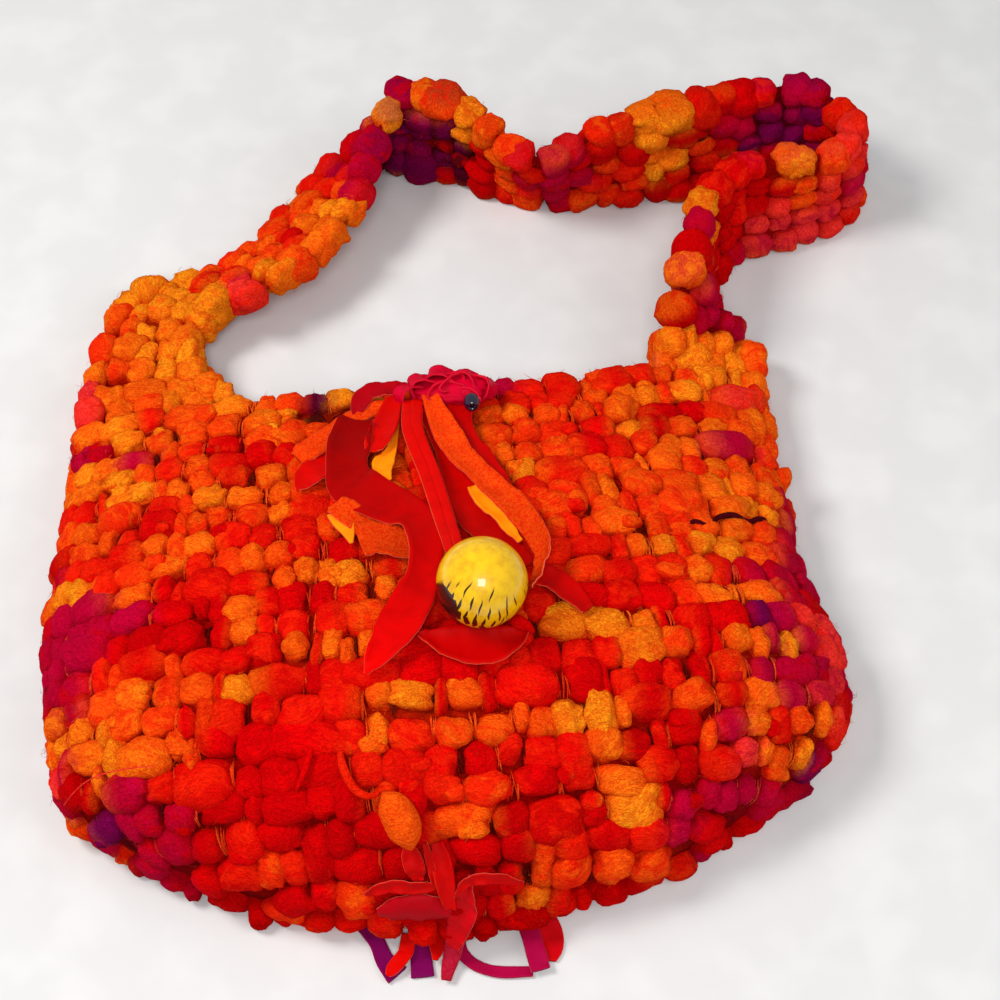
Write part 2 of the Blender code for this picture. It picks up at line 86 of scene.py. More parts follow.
def smooth_rows(rows: Sequence[Row], steps: int) -> Array:
    """Lay a smooth curve through a table's rows.

    Args:
        rows: the rows, each with the same columns.
        steps: how many new rows each span gets.

    Returns:
        The rows along the curve, the last one included.
    """
    given = np.asarray(rows, float)
    last = len(given) - 1
    out = []
    for index in range(last):
        before, start = given[max(index - 1, 0)], given[index]
        end, after = given[index + 1], given[min(index + 2, last)]
        for t in np.arange(steps) / steps:
            bend = 2 * before - 5 * start + 4 * end - after
            twist = 3 * start - before - 3 * end + after
            out.append(0.5 * (2 * start + (end - before) * t + bend * t ** 2 + twist * t ** 3))
    out.append(given[last])
    return np.array(out)


def even_rows(rows: Array, places: Array, goals: Array) -> Array:
    """Pick the rows at the goals, which are shares of the whole way along the rows' places."""
    way = np.concatenate([[0.0], np.cumsum(np.linalg.norm(np.diff(places, axis=0), axis=1))])
    return np.stack([np.interp(goals * way[-1], way, rows[:, c]) for c in range(rows.shape[1])], axis=1)


def square(vectors: Array, against: Array) -> Array:
    """The directions of what vectors have square to other unit vectors."""
    return unit(vectors - against * np.sum(vectors * against, axis=-1, keepdims=True))


def circle(count: int) -> Array:
    """The angles of points that stand evenly round a circle."""
    return 2 * np.pi * np.arange(count) / count


def numbers(rings: int, sides: int) -> Array:
    """The numbers of the points in a stack of rings."""
    return np.arange(rings * sides).reshape(rings, sides)


def add_object(name: str, data: Any) -> bpy.types.Object:
    """Add an object to the scene."""
    item = bpy.data.objects.new(name, data)
    bpy.context.scene.collection.objects.link(item)
    return item


def walls(index: Array) -> Array:
    """The faces of four between rings, whose points are numbered in the rows of an array."""
    after = np.roll(index, -1, axis=1)
    return np.stack([index[:-1], index[1:], after[1:], after[:-1]], axis=2).reshape(-1, 4)


def columns(rows: Sequence[Sequence[Any]], count: int) -> list[Array]:
    """The first columns of a list of rows, each as an array."""
    return [np.array([row[c] for row in rows]) for c in range(count)]


def skin(steps: int, sides: int) -> tuple[Array, Array]:
    """The faces of a closed stack of rings, whose two tips come after the rings' points.

    Args:
        steps: how many rings there are.
        sides: how many points each ring has.

    Returns:
        The faces of four and the faces of three, facing outward.
    """
    index = numbers(steps, sides)
    after = np.roll(index, -1, axis=1)
    first, last = np.full(sides, steps * sides), np.full(sides, steps * sides + 1)
    start = np.stack([first, after[0], index[0]], axis=1)
    end = np.stack([last, index[-1], after[-1]], axis=1)
    return walls(index)[:, [0, 3, 2, 1]], np.concatenate([start, end])


class Dye(Enum):
    """The yarn's dyes, and the dark colour of painted shade in the mouth, as screen colours."""

    YELLOW = (0.98, 0.61, 0.09)
    GOLD = (0.98, 0.50, 0.07)
    ORANGE = (0.97, 0.36, 0.05)
    VERMILION = (0.94, 0.14, 0.03)
    RED = (0.87, 0.01, 0.02)
    DEEP_RED = (0.77, 0.00, 0.02)
    SALMON = (0.96, 0.22, 0.18)
    MAGENTA = (0.72, 0.01, 0.20)
    PURPLE = (0.44, 0.01, 0.27)
    MAROON = (0.28, 0.03, 0.07)
    # Painted shade: the colour of the dark puffs sunk in the mouth, which stand for the shade inside its opening
    BROWN = (0.30, 0.06, 0.04)

    @property
    def light(self) -> Array:
        """The dye as a linear colour."""
        return linear(self.value)

    @property
    def kin(self) -> tuple[Dye, Dye]:
        """The two dyes that it runs into."""
        return KIN[self]


KIN: dict[Dye, tuple[Dye, Dye]] = {
    Dye.YELLOW: (Dye.GOLD, Dye.ORANGE), Dye.GOLD: (Dye.YELLOW, Dye.ORANGE), Dye.ORANGE: (Dye.GOLD, Dye.VERMILION),
    Dye.VERMILION: (Dye.ORANGE, Dye.RED), Dye.RED: (Dye.VERMILION, Dye.DEEP_RED),
    Dye.DEEP_RED: (Dye.RED, Dye.DEEP_RED), Dye.SALMON: (Dye.VERMILION, Dye.MAGENTA),
    Dye.MAGENTA: (Dye.DEEP_RED, Dye.MAGENTA), Dye.PURPLE: (Dye.MAGENTA, Dye.PURPLE),
    Dye.MAROON: (Dye.DEEP_RED, Dye.PURPLE), Dye.BROWN: (Dye.MAROON, Dye.BROWN),
}

# The lumps that stand out on the front of the pouch: x, y, width along the row and height across it
LUMPS: dict[Dye, tuple[Row, ...]] = {
    Dye.MAGENTA: (
        (-125, -6, 18, 15), (-113, -66, 20, 14), (-104, -75, 9, 9), (-93, -78, 9, 8), (84, -81, 13, 8),
        (96, -79, 12, 8), (90, -84, 16, 9), (106, -80, 9, 8), (-125, 87, 11, 7), (-110, 79, 13, 10), (-136, 89, 5, 8),
        (-138, 33, 8, 10), (-124, 10, 16, 13), (-108, 2, 14, 12), (116, 63, 23, 15), (130, 18, 11, 17),
        (114, -28, 12, 9), (125, -27, 13, 10), (121, -42, 18, 9), (116, -52, 11, 7), (74, -88, 13, 10),
        (90, -63, 16, 10), (127, -66, 12, 9), (124, -8, 12, 13), (18, 99, 10, 9), (26, 100, 9, 10), (33, 100, 9, 9),
        (-138, -2, 8, 12), (-138, -18, 8, 10), (-137, -66, 8, 12),
    ),
    Dye.SALMON: (
        (124, 89, 20, 14), (127, -16, 9, 7), (135, -32, 11, 15), (129, -49, 12, 8), (134, -57, 7, 11), (98, -72, 10, 7),
        (-135, -60, 11, 10), (136, -42, 8, 12), (-138, -50, 8, 11),
    ),
    Dye.PURPLE: ((-118, -73, 16, 12), (120, -72, 14, 10), (110, -20, 8, 6)),
    Dye.RED: (
        (-90, -14, 15, 13), (-102, -20, 18, 12), (-84, -26, 16, 11), (-63, -25, 15, 13), (-70, -30, 13, 9),
        (-79, -56, 13, 9), (-99, -69, 11, 10), (-69, -73, 9, 10), (-60, -87, 13, 10), (66, 69, 12, 14),
        (25, -48, 20, 16), (44, -48, 11, 16), (39, -79, 11, 8), (25, -80, 12, 10), (66, -77, 13, 11), (30, -94, 18, 16),
        (47, -93, 13, 12), (-33, 13, 10, 12), (-46, 18, 9, 12), (-105, 102, 10, 11), (-76, 76, 12, 12),
        (-62, 71, 11, 13), (-97, 70, 10, 13), (-101, 42, 15, 15), (-61, 26, 9, 11), (-94, 12, 12, 7), (-67, 2, 13, 8),
        (-93, 4, 9, 8), (-93, -3, 12, 8), (-80, -1, 11, 5), (85, -26, 12, 9), (95, -52, 10, 8), (68, -83, 7, 6),
        (105, 83, 10, 10), (-84, -71, 16, 15), (77, -64, 12, 8), (85, -33, 9, 12), (64, -43, 14, 11), (-80, -8, 11, 6),
    ),
    Dye.DEEP_RED: ((89, 74, 12, 13), (17, -97, 11, 12), (3, -97, 15, 9), (59, -71, 10, 8), (-123, -62, 9, 8)),
    Dye.VERMILION: (
        (56, 98, 13, 17), (75, 99, 15, 18), (72, 58, 9, 14), (53, 11, 12, 12), (-15, -65, 14, 11), (-6, -80, 11, 9),
        (9, -81, 13, 9), (34, -103, 12, 12), (-37, -105, 11, 14), (26, 68, 12, 19), (39, 69, 10, 11), (48, 45, 18, 24),
        (38, 55, 9, 11), (51, 17, 11, 14), (54, 9, 15, 11), (50, -1, 14, 10), (-76, 92, 10, 13), (-89, 80, 9, 10),
        (-72, 61, 11, 12), (-130, 59, 9, 12), (-116, 50, 18, 15), (-89, 48, 7, 10), (-77, 41, 8, 8), (-65, 37, 11, 10),
        (-110, 34, 9, 9), (-73, 28, 13, 12), (-129, 37, 15, 7), (-84, 16, 9, 9), (-124, 25, 12, 9), (-109, 19, 13, 8),
        (86, -71, 11, 5), (60, -52, 12, 8), (83, 62, 9, 13), (79, 24, 9, 14), (43, 98, 11, 12), (88, 103, 12, 12),
        (-50, 101, 12, 9),
    ),
    Dye.ORANGE: (
        (-93, -29, 8, 11), (-85, -36, 12, 9), (-112, -40, 15, 8), (-98, -44, 12, 9), (-125, -47, 16, 8),
        (-103, -56, 19, 13), (-93, -53, 9, 6), (-89, -60, 7, 6), (-120, -57, 14, 9), (62, 81, 9, 11), (77, 83, 13, 15),
        (98, 72, 11, 11), (112, 72, 11, 10), (129, 77, 13, 16), (73, 48, 10, 10), (89, 51, 13, 16), (100, 55, 7, 11),
        (78, 38, 13, 12), (61, 33, 11, 16), (119, 44, 13, 12), (90, 27, 14, 15), (65, 21, 14, 13), (68, 11, 11, 10),
        (110, 17, 12, 9), (-24, -48, 7, 6), (4, -47, 11, 7), (-1, -64, 11, 10), (13, -63, 11, 7), (23, -57, 7, 4),
        (28, -63, 11, 8), (0, -89, 18, 10), (49, -101, 11, 14), (64, -99, 13, 14), (36, 81, 11, 10), (48, 80, 9, 11),
        (62, 35, 12, 15), (52, 31, 7, 11), (63, 22, 9, 13), (-47, 8, 9, 8), (-53, 3, 9, 9), (-51, -25, 9, 6),
        (-35, -32, 8, 5), (-37, -25, 9, 5), (-90, 97, 17, 13), (-131, 101, 13, 12), (-102, 88, 10, 13),
        (-84, 64, 12, 10), (-58, 57, 11, 11), (-128, 68, 22, 8), (-92, 57, 9, 7), (-68, 48, 12, 9), (-55, 45, 8, 8),
        (-56, 37, 9, 8), (-85, 37, 8, 6), (-127, 45, 16, 11), (-101, 31, 9, 9), (-93, 27, 7, 7), (-83, 26, 12, 9),
        (-96, 20, 14, 7), (-109, 12, 15, 7), (-68, -8, 10, 8), (96, -17, 13, 9), (112, -12, 13, 9), (80, -35, 14, 9),
        (100, -33, 10, 9), (109, -34, 9, 7), (80, -53, 14, 12), (103, -60, 9, 11), (119, -59, 9, 6), (128, -58, 6, 8),
        (113, -61, 4, 7), (106, -69, 6, 9), (110, -76, 14, 8), (-49, 84, 10, 13), (117, 4, 16, 12), (-19, -4, 7, 7),
        (55, -60, 7, 6), (25, -103, 7, 8), (68, 90, 9, 9), (96, 104, 9, 8),
    ),
    Dye.GOLD: (
        (-70, -39, 10, 5), (-116, -44, 10, 6), (-128, -37, 11, 7), (88, 89, 9, 14), (104, 95, 11, 11),
        (135, 100, 12, 12), (104, 38, 11, 13), (126, 37, 15, 14), (109, 28, 15, 13), (95, 11, 10, 9), (81, 7, 8, 8),
        (68, 3, 7, 8), (49, -60, 13, 15), (-13, -48, 12, 6), (54, -84, 15, 10), (-31, 0, 11, 11), (-61, 91, 13, 14),
        (-115, 94, 14, 12), (-119, 74, 19, 10), (-131, 80, 9, 10), (-104, 63, 7, 6), (-109, 60, 26, 8),
        (-80, 52, 11, 8), (68, -31, 8, 5), (118, -36, 13, 6), (114, -69, 9, 8), (121, -68, 9, 8), (126, 26, 9, 10),
        (118, 103, 10, 8), (-74, 103, 14, 8),
    ),
    Dye.YELLOW: ((116, 97, 11, 10), (-136, 22, 9, 10), (-29, 101, 11, 8)),
    # The dark puffs in the mouth, whose colour is painted shade of its opening
    Dye.BROWN: ((-42, 92, 12, 9), (-31, 92, 10, 9)),
    Dye.MAROON: ((-40, 101, 9, 8),),
}

# The dye that each part of the front mostly has between those lumps: x, y and how far it reaches both ways
AREAS: dict[Dye, tuple[Row, ...]] = {
    Dye.ORANGE: (
        (-128, 75, 20, 26), (-100, 62, 24, 16), (78, 52, 22, 22), (108, 58, 24, 28), (-128, -38, 16, 12),
        (48, 62, 20, 16), (-75, 98, 24, 9), (128, 95, 14, 12), (-90, -40, 16, 5), (120, -52, 12, 8),
    ),
    Dye.VERMILION: (
        (-68, 60, 25, 22), (-98, 30, 30, 12), (-58, 25, 22, 16), (-108, 100, 24, 12), (62, 90, 36, 12),
        (45, 28, 20, 20), (76, 14, 24, 14), (-100, -27, 18, 9), (34, -62, 20, 7), (-12, -58, 16, 6), (32, -99, 22, 7),
        (100, 20, 20, 14),
    ),
    Dye.RED: (
        (-97, 3, 22, 10), (-42, -9, 26, 14), (-66, -28, 36, 13), (42, -18, 26, 15), (66, -42, 26, 12), (8, -40, 36, 12),
        (-57, -50, 36, 12), (6, -79, 30, 9), (86, -60, 18, 10), (68, -20, 25, 9), (-110, -14, 12, 8), (98, -38, 16, 8),
    ),
    Dye.DEEP_RED: (
        (-60, -76, 40, 9), (62, -83, 22, 8), (-45, -92, 40, 8), (0, -97, 24, 8), (-98, -66, 18, 8), (94, -70, 14, 8),
    ),
    Dye.MAGENTA: (
        (-130, -5, 13, 18), (130, -12, 12, 26), (-116, -74, 20, 9), (112, -77, 20, 10), (131, 28, 8, 14),
        (-136, -60, 8, 12),
    ),
}

# Where each dye lies on the strap: x, y, z and how far it reaches
STRAP_DYES: dict[Dye, tuple[Row, ...]] = {
    Dye.VERMILION: (
        (-129, 155, 10, 5), (-77, 183, 18, 3), (-45, 191, 24, 5), (-54, 217, 9, 4), (-30, 228, 20, 5), (8, 249, 26, 2),
        (52, 212, 37, 5), (49, 222, 16, 3), (98, 226, 46, 7), (98, 221, 25, 5), (99, 221, 10, 5), (130, 234, 46, 6),
        (131, 226, 27, 4), (189, 229, 45, 6), (96, 119, 21, 7),
    ),
    Dye.ORANGE: (
        (-129, 140, 14, 5), (-114, 133, 18, 5), (-118, 156, 15, 6), (-68, 183, 20, 4), (-56, 198, 18, 3),
        (-65, 202, 12, 4), (-42, 179, 22, 5), (-44, 219, 14, 4), (-5, 244, 43, 2), (18, 246, 31, 2), (20, 252, 46, 5),
        (41, 228, 44, 4), (44, 222, 42, 5), (80, 219, 44, 5), (153, 227, 19, 3), (183, 197, 43, 6), (173, 191, 28, 5),
        (113, 139, 44, 6), (-113, 118, 14, 9),
    ),
    Dye.YELLOW: (
        (-100, 142, 19, 7), (-107, 156, 18, 5), (-113, 178, 10, 5), (-97, 169, 18, 7), (-82, 167, 22, 5),
        (-81, 153, 16, 3), (-52, 170, 25, 7), (-21, 202, 26, 6), (-2, 252, 43, 3), (116, 230, 45, 5), (113, 222, 17, 3),
    ),
    Dye.GOLD: (
        (-93, 151, 20, 5), (-30, 191, 23, 7), (31, 241, 44, 6), (116, 226, 37, 4), (113, 224, 26, 4), (168, 195, 39, 5),
        (126, 173, 43, 5), (100, 115, 21, 6), (116, 115, 20, 7), (-91, 114, 20, 9), (-77, 111, 20, 8),
    ),
    Dye.SALMON: (
        (-67, 162, 23, 7), (193, 212, 44, 7), (184, 194, 29, 3), (169, 189, 18, 6), (181, 191, 19, 4),
        (154, 185, 13, 6), (-131, 114, 12, 7),
    ),
    Dye.MAGENTA: (
        (-16, 217, 32, 6), (-25, 237, 21, 3), (-10, 232, 38, 6), (-10, 252, 31, 2), (8, 259, 45, 5), (68, 212, 41, 8),
        (69, 215, 20, 5), (147, 232, 37, 6), (178, 243, 44, 5), (116, 168, 42, 3), (112, 133, 41, 4), (117, 131, 31, 6),
        (119, 128, 27, 6),
    ),
    Dye.PURPLE: (
        (8, 251, 36, 6), (0, 250, 11, 6), (161, 236, 37, 5), (163, 231, 26, 5), (179, 235, 35, 6), (179, 230, 21, 5),
    ),
    Dye.MAROON: ((24, 241, 23, 6),),
    Dye.DEEP_RED: (
        (35, 234, 29, 6), (60, 210, 34, 3), (83, 217, 34, 3), (98, 223, 36, 6), (116, 222, 8, 3), (129, 229, 37, 4),
        (145, 238, 46, 6), (148, 228, 26, 5), (171, 229, 17, 3), (186, 226, 30, 5), (155, 191, 28, 6),
        (137, 182, 22, 6), (113, 155, 40, 4), (101, 125, 33, 5),
    ),
    Dye.RED: (
        (129, 223, 17, 4), (162, 242, 45, 5), (155, 197, 41, 6), (139, 193, 40, 7), (142, 189, 29, 5),
        (121, 158, 45, 4),
    ),
}


class Value:
    """A number in a material, whose operators add the Math nodes that work it out."""

    def __init__(self, shader: Shader, socket: Any) -> None:
        """Wrap an output socket of a material."""
        self.shader = shader
        self.socket = socket

    def _math(self, operation: str, first: Any, second: Any) -> Value:
        """The result of one Math node on two values or links."""
        made = self.shader.node("ShaderNodeMath", {"operation": operation}, {0: first, 1: second})
        return Value(self.shader, made.outputs[0])

    def __add__(self, other: Any) -> Value:
        """Add."""
        return self._math("ADD", self, other)

    __radd__ = __add__

    def __mul__(self, other: Any) -> Value:
        """Multiply."""
        return self._math("MULTIPLY", self, other)

    __rmul__ = __mul__

    def __sub__(self, other: Any) -> Value:
        """Take away."""
        return self._math("SUBTRACT", self, other)

    def __rsub__(self, other: Any) -> Value:
        """Take this away from the other."""
        return self._math("SUBTRACT", other, self)

    def __truediv__(self, other: Any) -> Value:
        """Divide."""
        return self._math("DIVIDE", self, other)

    def __gt__(self, other: Any) -> Value:
        """1 where this is the larger."""
        return self._math("GREATER_THAN", self, other)

    def __lt__(self, other: Any) -> Value:
        """1 where this is the smaller."""
        return self._math("LESS_THAN", self, other)

    def floor(self) -> Value:
        """The whole number below."""
        return self._math("FLOOR", self, 0.0)

    def fraction(self) -> Value:
        """What is left above the whole number."""
        return self._math("FRACT", self, 0.0)

    def largest(self, other: Any) -> Value:
        """The larger of the two."""
        return self._math("MAXIMUM", self, other)

    def distance(self, other: float) -> Value:
        """How far this is from a number."""
        return self._math("ABSOLUTE", self - other, 0.0)

    def arccos(self) -> Value:
        """The angle that has this cosine."""
        return self._math("ARCCOSINE", self, 0.0)

    def arctan2(self, other: Value) -> Value:
        """The angle that has this over the other as its tangent."""
        return self._math("ARCTAN2", self, other)

    def between(self, low: float, high: float) -> Value:
        """A smooth step from 0 to 1.

        Args:
            low: where it starts.
            high: where it ends.

        Returns:
            The stepped value.
        """
        limits = {"Value": self, "From Min": low, "From Max": high}
        made = self.shader.node("ShaderNodeMapRange", {"interpolation_type": "SMOOTHSTEP"}, limits)
        return Value(self.shader, made.outputs["Result"])


class Shader:
    """One material and the nodes that are added to it."""

    def __init__(self, name: str) -> None:
        """Start an empty material with a Principled shader.

        Args:
            name: the material's name.
        """
        self.material = bpy.data.materials.new(name)
        self.material.use_nodes = True
        self.tree = self.material.node_tree
        self.tree.nodes.clear()
        self.surface = self.node("ShaderNodeBsdfPrincipled", {}, {})
        self.node("ShaderNodeOutputMaterial", {}, {"Surface": self.surface.outputs[0]})

    def node(self, kind: str, settings: dict[str, Any], inputs: dict[Any, Any]) -> Any:
        """Add one node.

        Args:
            kind: the node's type.
            settings: its settings, which are set first.
            inputs: the values or links of its sockets, by name or number.

        Returns:
            The node.
        """
        made = self.tree.nodes.new(kind)
        for key, value in settings.items():
            setattr(made, key, value)
        for key, value in inputs.items():
            self.feed(made.inputs[key], value)
        return made

    def feed(self, target: Any, value: Any) -> None:
        """Give a socket its value or its link.

        Args:
            target: the input socket.
            value: a number, a tuple, an output socket or a Value.
        """
        if isinstance(value, Value):
            value = value.socket
        if isinstance(value, bpy.types.NodeSocket):
            self.tree.links.new(value, target)
        elif isinstance(value, (tuple, list, np.ndarray)):
            size = len(target.default_value)
            target.default_value = (list(map(float, value)) + [1.0])[:size]
        else:
            target.default_value = value

    def place(self) -> Any:
        """The place on the object, in metres."""
        return self.node("ShaderNodeTexCoord", {}, {}).outputs["Object"]

    def attribute(self, name: str, output: str) -> Any:
        """An output, Color, Vector or Fac, of what a mesh stores at its points."""
        return self.node("ShaderNodeAttribute", {"attribute_name": name}, {}).outputs[output]

    def vector(self, operation: str, first: Any, second: Any = (0.0, 0.0, 0.0), output: str = "Vector") -> Any:
        """An output of one Vector Math node on two vectors or links."""
        made = self.node("ShaderNodeVectorMath", {"operation": operation}, {0: first, 1: second})
        return made.outputs[output]

    def noise(self, vector: Any, scale: float, detail: float = 2.0, rough: float = 0.5, bend: float = 0.0) -> Value:
        """A noise over a vector: how fine it is, its finer layers, their strength and how far it is bent."""
        inputs = {"Vector": vector, "Scale": scale, "Detail": detail, "Roughness": rough, "Distortion": bend}
        return Value(self, self.node("ShaderNodeTexNoise", {}, inputs).outputs["Fac"])

    def mix(self, share: Any, first: Any, second: Any, blend: str = "MIX") -> Any:
        """A mix of two colours or links, with the share of the second."""
        made = self.node("ShaderNodeMix", {"data_type": "RGBA", "blend_type": blend}, {0: share, 6: first, 7: second})
        return made.outputs[2]

    def tint(self, colour: Any, by: Any) -> Any:
        """A colour or link multiplied by another."""
        return self.mix(1.0, colour, by, "MULTIPLY")

    def bump(self, height: Any, strength: float, distance: float) -> None:
        """Raise the surface by a height, of which 1 rises by the distance in metres."""
        made = self.node("ShaderNodeBump", {}, {"Strength": strength, "Distance": distance, "Height": height})
        self.tree.links.new(made.outputs[0], self.surface.inputs["Normal"])

    def set(self, **values: Any) -> None:
        """Set the Principled shader's sockets by their names, with _ for a space."""
        for key, value in values.items():
            self.feed(self.surface.inputs[key.replace("_", " ")], value)


@dataclass(frozen=True)
class FeltFinish:
    """Felted wool with fine curled fibres: each puff shows its dye on its crest, and painted shade darkens and reddens
    its sides and the hollows among its curls.
    """

    name: str
    # The tints of painted shade on a puff's sides and in the hollows among its curls, the pale lint's colour, and how
    # strong each is
    sides: Row = (0.84, 0.18, 0.30)
    pits: Row = (0.66, 0.20, 0.32)
    lint: Row = (1.0, 0.34, 0.06)
    side_shade_share: float = 0.85
    pit_shade_share: float = 0.72
    lint_share: float = 0.13
    depth: float = 0.0010
    # Its noises: how fine they are along the yarn and across it, their finer layers and how far they are bent
    patches: Row = (0.11, 0.17, 2.0, 0.8)
    curls: Row = (0.62, 1.05, 3.0, 1.6)
    twists: Row = (0.20, 1.30, 2.0, 1.2)
    specks: Row = (1.6, 2.6, 2.0, 0.8)
    clumps: Row = (0.30, 0.36, 2.0, 0.4)

    def make(self) -> bpy.types.Material:
        """Build the material.

        Returns:
            The material.
        """
        shader = Shader(self.name)
        lay = shader.attribute("lay", "Vector")
        crest = Value(shader, shader.attribute("crest", "Fac"))

        def over(along: float, across: float, detail: float, bend: float) -> Value:
            """A noise over the yarn, stretched along it."""
            return shader.noise(shader.vector("MULTIPLY", lay, (along, across, across)), 1.0, detail, 0.58, bend)

        noises = (self.patches, self.curls, self.twists, self.specks, self.clumps)
        patches, curls, twists, lint, clumps = (over(*noise) for noise in noises)
        dye = shader.mix(
            patches.between(0.46, 0.64) * 0.7, shader.attribute("dye", "Color"), shader.attribute("streak", "Color")
        )
        # Painted shade: a point below its puff's crest, towards the valleys between puffs, takes the darker and redder
        # side tint
        side = shader.tint(dye, self.sides)
        edge = (1 - (crest + (clumps - 0.5) * 0.35).between(0.10, 0.78)) * self.side_shade_share
        body = shader.mix(edge, dye, side)
        pit = shader.tint(body, self.pits)
        # Painted shade: the hollows where the curl and twist noises are low, which the bump also sinks, take the darker
        # pit tint
        hollow_shade = ((1 - curls.between(0.38, 0.60)) * self.pit_shade_share).largest((1 - twists.between(0.34, 0.46)) * 0.8)
        fuzzy = shader.mix(hollow_shade, body, pit)
        pale = shader.mix(0.40, body, tuple(linear(self.lint)))
        colour = shader.mix(lint.between(0.58, 0.76) * self.lint_share, fuzzy, pale)
        shader.set(Base_Color=colour, Roughness=1.0, Specular_IOR_Level=0.02)
        shader.bump(curls * 0.9 + lint * 0.35 + clumps * 0.9 + twists * 0.8, 0.9, self.depth)
        return shader.material


@dataclass(frozen=True)
class LeatherFinish:
    """Dyed leather: satin on its face, napped on its back, with pale cut edges."""

    name: str
    smooth: float = 0.52
    napped: float = 0.95
    edge: Row = (0.94, 0.46, 0.36)
    worn: Row = (0.62, 0.40, 0.45)
    fleck: Row = (0.85, 0.14, 0.20)
    # Its noises: how fine they are, their finer layers, how strong those are and how far they are bent
    clouds: Row = (160.0, 3.0, 0.55)
    grains: Row = (1300.0, 2.0, 0.6)
    flecks: Row = (1100.0, 3.0, 0.7, 0.6)

    def make(self) -> bpy.types.Material:
        """Build the material.

        Returns:
            The material.
        """
        shader = Shader(self.name)
        place = shader.place()
        nap, rim = (Value(shader, shader.attribute(name, "Fac")) for name in ("nap", "rim"))
        noises = (self.clouds, self.grains, self.flecks)
        cloud, grain, flecks = (shader.noise(place, *noise) for noise in noises)
        hide = shader.attribute("hide", "Color")
        deep = shader.tint(hide, self.worn)
        worn = shader.mix(cloud.between(0.40, 0.72) * 0.35, hide, deep)
        fleck = shader.tint(hide, self.fleck)
        napped = shader.mix(flecks.between(0.44, 0.58) * nap * 0.8, worn, fleck)
        colour = shader.mix(rim.between(0.62, 1.0) * 0.75, napped, tuple(linear(self.edge)))
        rough = nap * (self.napped - self.smooth) + self.smooth + cloud * 0.08
        shader.set(Base_Color=colour, Roughness=rough, Specular_IOR_Level=0.06)
        shader.bump(grain * 0.35 + flecks * nap * 0.9 + cloud * 0.6, 0.5, 0.00035)
        return shader.material


@dataclass(frozen=True)
class GlazeFinish:
    """A glazed yellow ball with dark brush strokes that fan out from a black cap."""

    name: str
    middle: Row
    pole: Row
    shown: Row
    smear: Row = (-0.883, -0.461, 0.054)
    smear_reach: float = 0.150
    cap: float = 0.335
    # Bands of strokes: how many to a turn, start, length, width, offset, and how many are left out
    bands: tuple[Row, ...] = (
        (30.0, 0.325, 0.110, 0.40, 0.3, 0.0), (27.0, 0.400, 0.140, 0.19, 0.8, 0.10),
        (25.0, 0.505, 0.140, 0.14, 0.1, 0.20), (22.0, 0.620, 0.110, 0.12, 0.7, 0.50),
    )
    lean: float = 0.26
    glaze: Row = (0.86, 0.68, 0.01)
    glaze_deep: Row = (0.75, 0.53, 0.00)
    glaze_vein: Row = (0.89, 0.75, 0.04)
    ink: Row = (0.09, 0.05, 0.03)
    # Its noises: how fine they are, their finer layers, how strong those are and how far they are bent
    wobbles: Row = (90.0, 2.0, 0.5)
    blots: Row = (9.0, 2.0, 0.6)
    clouds: Row = (330.0, 3.0, 0.6)
    veins: Row = (120.0, 4.0, 0.6, 1.0)

    def strokes(self, shader: Shader, fall: Value, turn: Value, band: Row) -> Value:
        """One fan of tapered strokes.

        Args:
            shader: the material.
            fall: the angle from the pole as a share of half a turn.
            turn: the angle round the pole as a share of a turn.
            band: the band's numbers.

        Returns:
            1 in the strokes.
        """
        count, start, length, width, offset, missing = band
        cells = turn * count + offset
        chance = shader.node("ShaderNodeTexWhiteNoise", {"noise_dimensions": "1D"}, {"W": cells.floor() + offset})
        luck = Value(shader, chance.outputs["Value"])
        along = (fall - (luck * 0.05 + start)) / (luck * 0.5 * length + length * 0.75)
        taper = (along * (1 - along) * 4.0).largest(0.0)
        inside = (along > 0.0) * (along < 1.0) * (luck > missing)
        return (taper * width - cells.fraction().distance(0.5)).between(0.0, 0.06) * inside

    def make(self) -> bpy.types.Material:
        """Build the material.

        Returns:
            The material.
        """
        shader = Shader(self.name)
        place = shader.place()
        pole = Vector(self.pole).normalized()
        side = pole.cross(Vector((0.0, 0.0, 1.0))).normalized()
        local = shader.vector("SUBTRACT", place, tuple(v * MM for v in self.middle))
        ray = shader.vector("NORMALIZE", local)

        def along(axis: Sequence[float]) -> Value:
            """How far the ray points along an axis."""
            return Value(shader, shader.vector("DOT_PRODUCT", ray, tuple(axis), "Value"))

        wobble = shader.noise(place, *self.wobbles)
        fall = along(pole).arccos() / math.pi + (wobble - 0.5) * 0.02
        turn = along(side).arctan2(along(pole.cross(side))) / math.tau
        turn = turn + (wobble - 0.5) * 0.05 + (fall - self.cap) * self.lean
        blot = along(Vector(self.smear).normalized()).arccos() / math.pi
        blot = blot + (shader.noise(ray, *self.blots) - 0.5) * 0.06
        paint = (wobble * 0.02 + self.cap - fall).between(0.0, 0.008)
        paint = paint.largest((self.smear_reach - blot).between(0.0, 0.006))
        for band in self.bands:
            paint = paint.largest(self.strokes(shader, fall, turn, band))
        paint = paint * along(self.shown).between(-0.10, 0.05)
        cloud, veins = (shader.noise(place, *noise) for noise in (self.clouds, self.veins))
        base = shader.mix(cloud.between(0.35, 0.7) * 0.6, linear(self.glaze), linear(self.glaze_deep))
        base = shader.mix(veins.between(0.52, 0.70) * 0.35, base, linear(self.glaze_vein))
        colour = shader.mix(paint, base, linear(self.ink))
        shader.set(Base_Color=colour, Roughness=0.35, Specular_IOR_Level=0.3, Coat_Weight=0.6, Coat_Roughness=0.05)
        shader.bump(cloud * 0.3 - paint * 0.4, 0.15, 0.0003)
        return shader.material


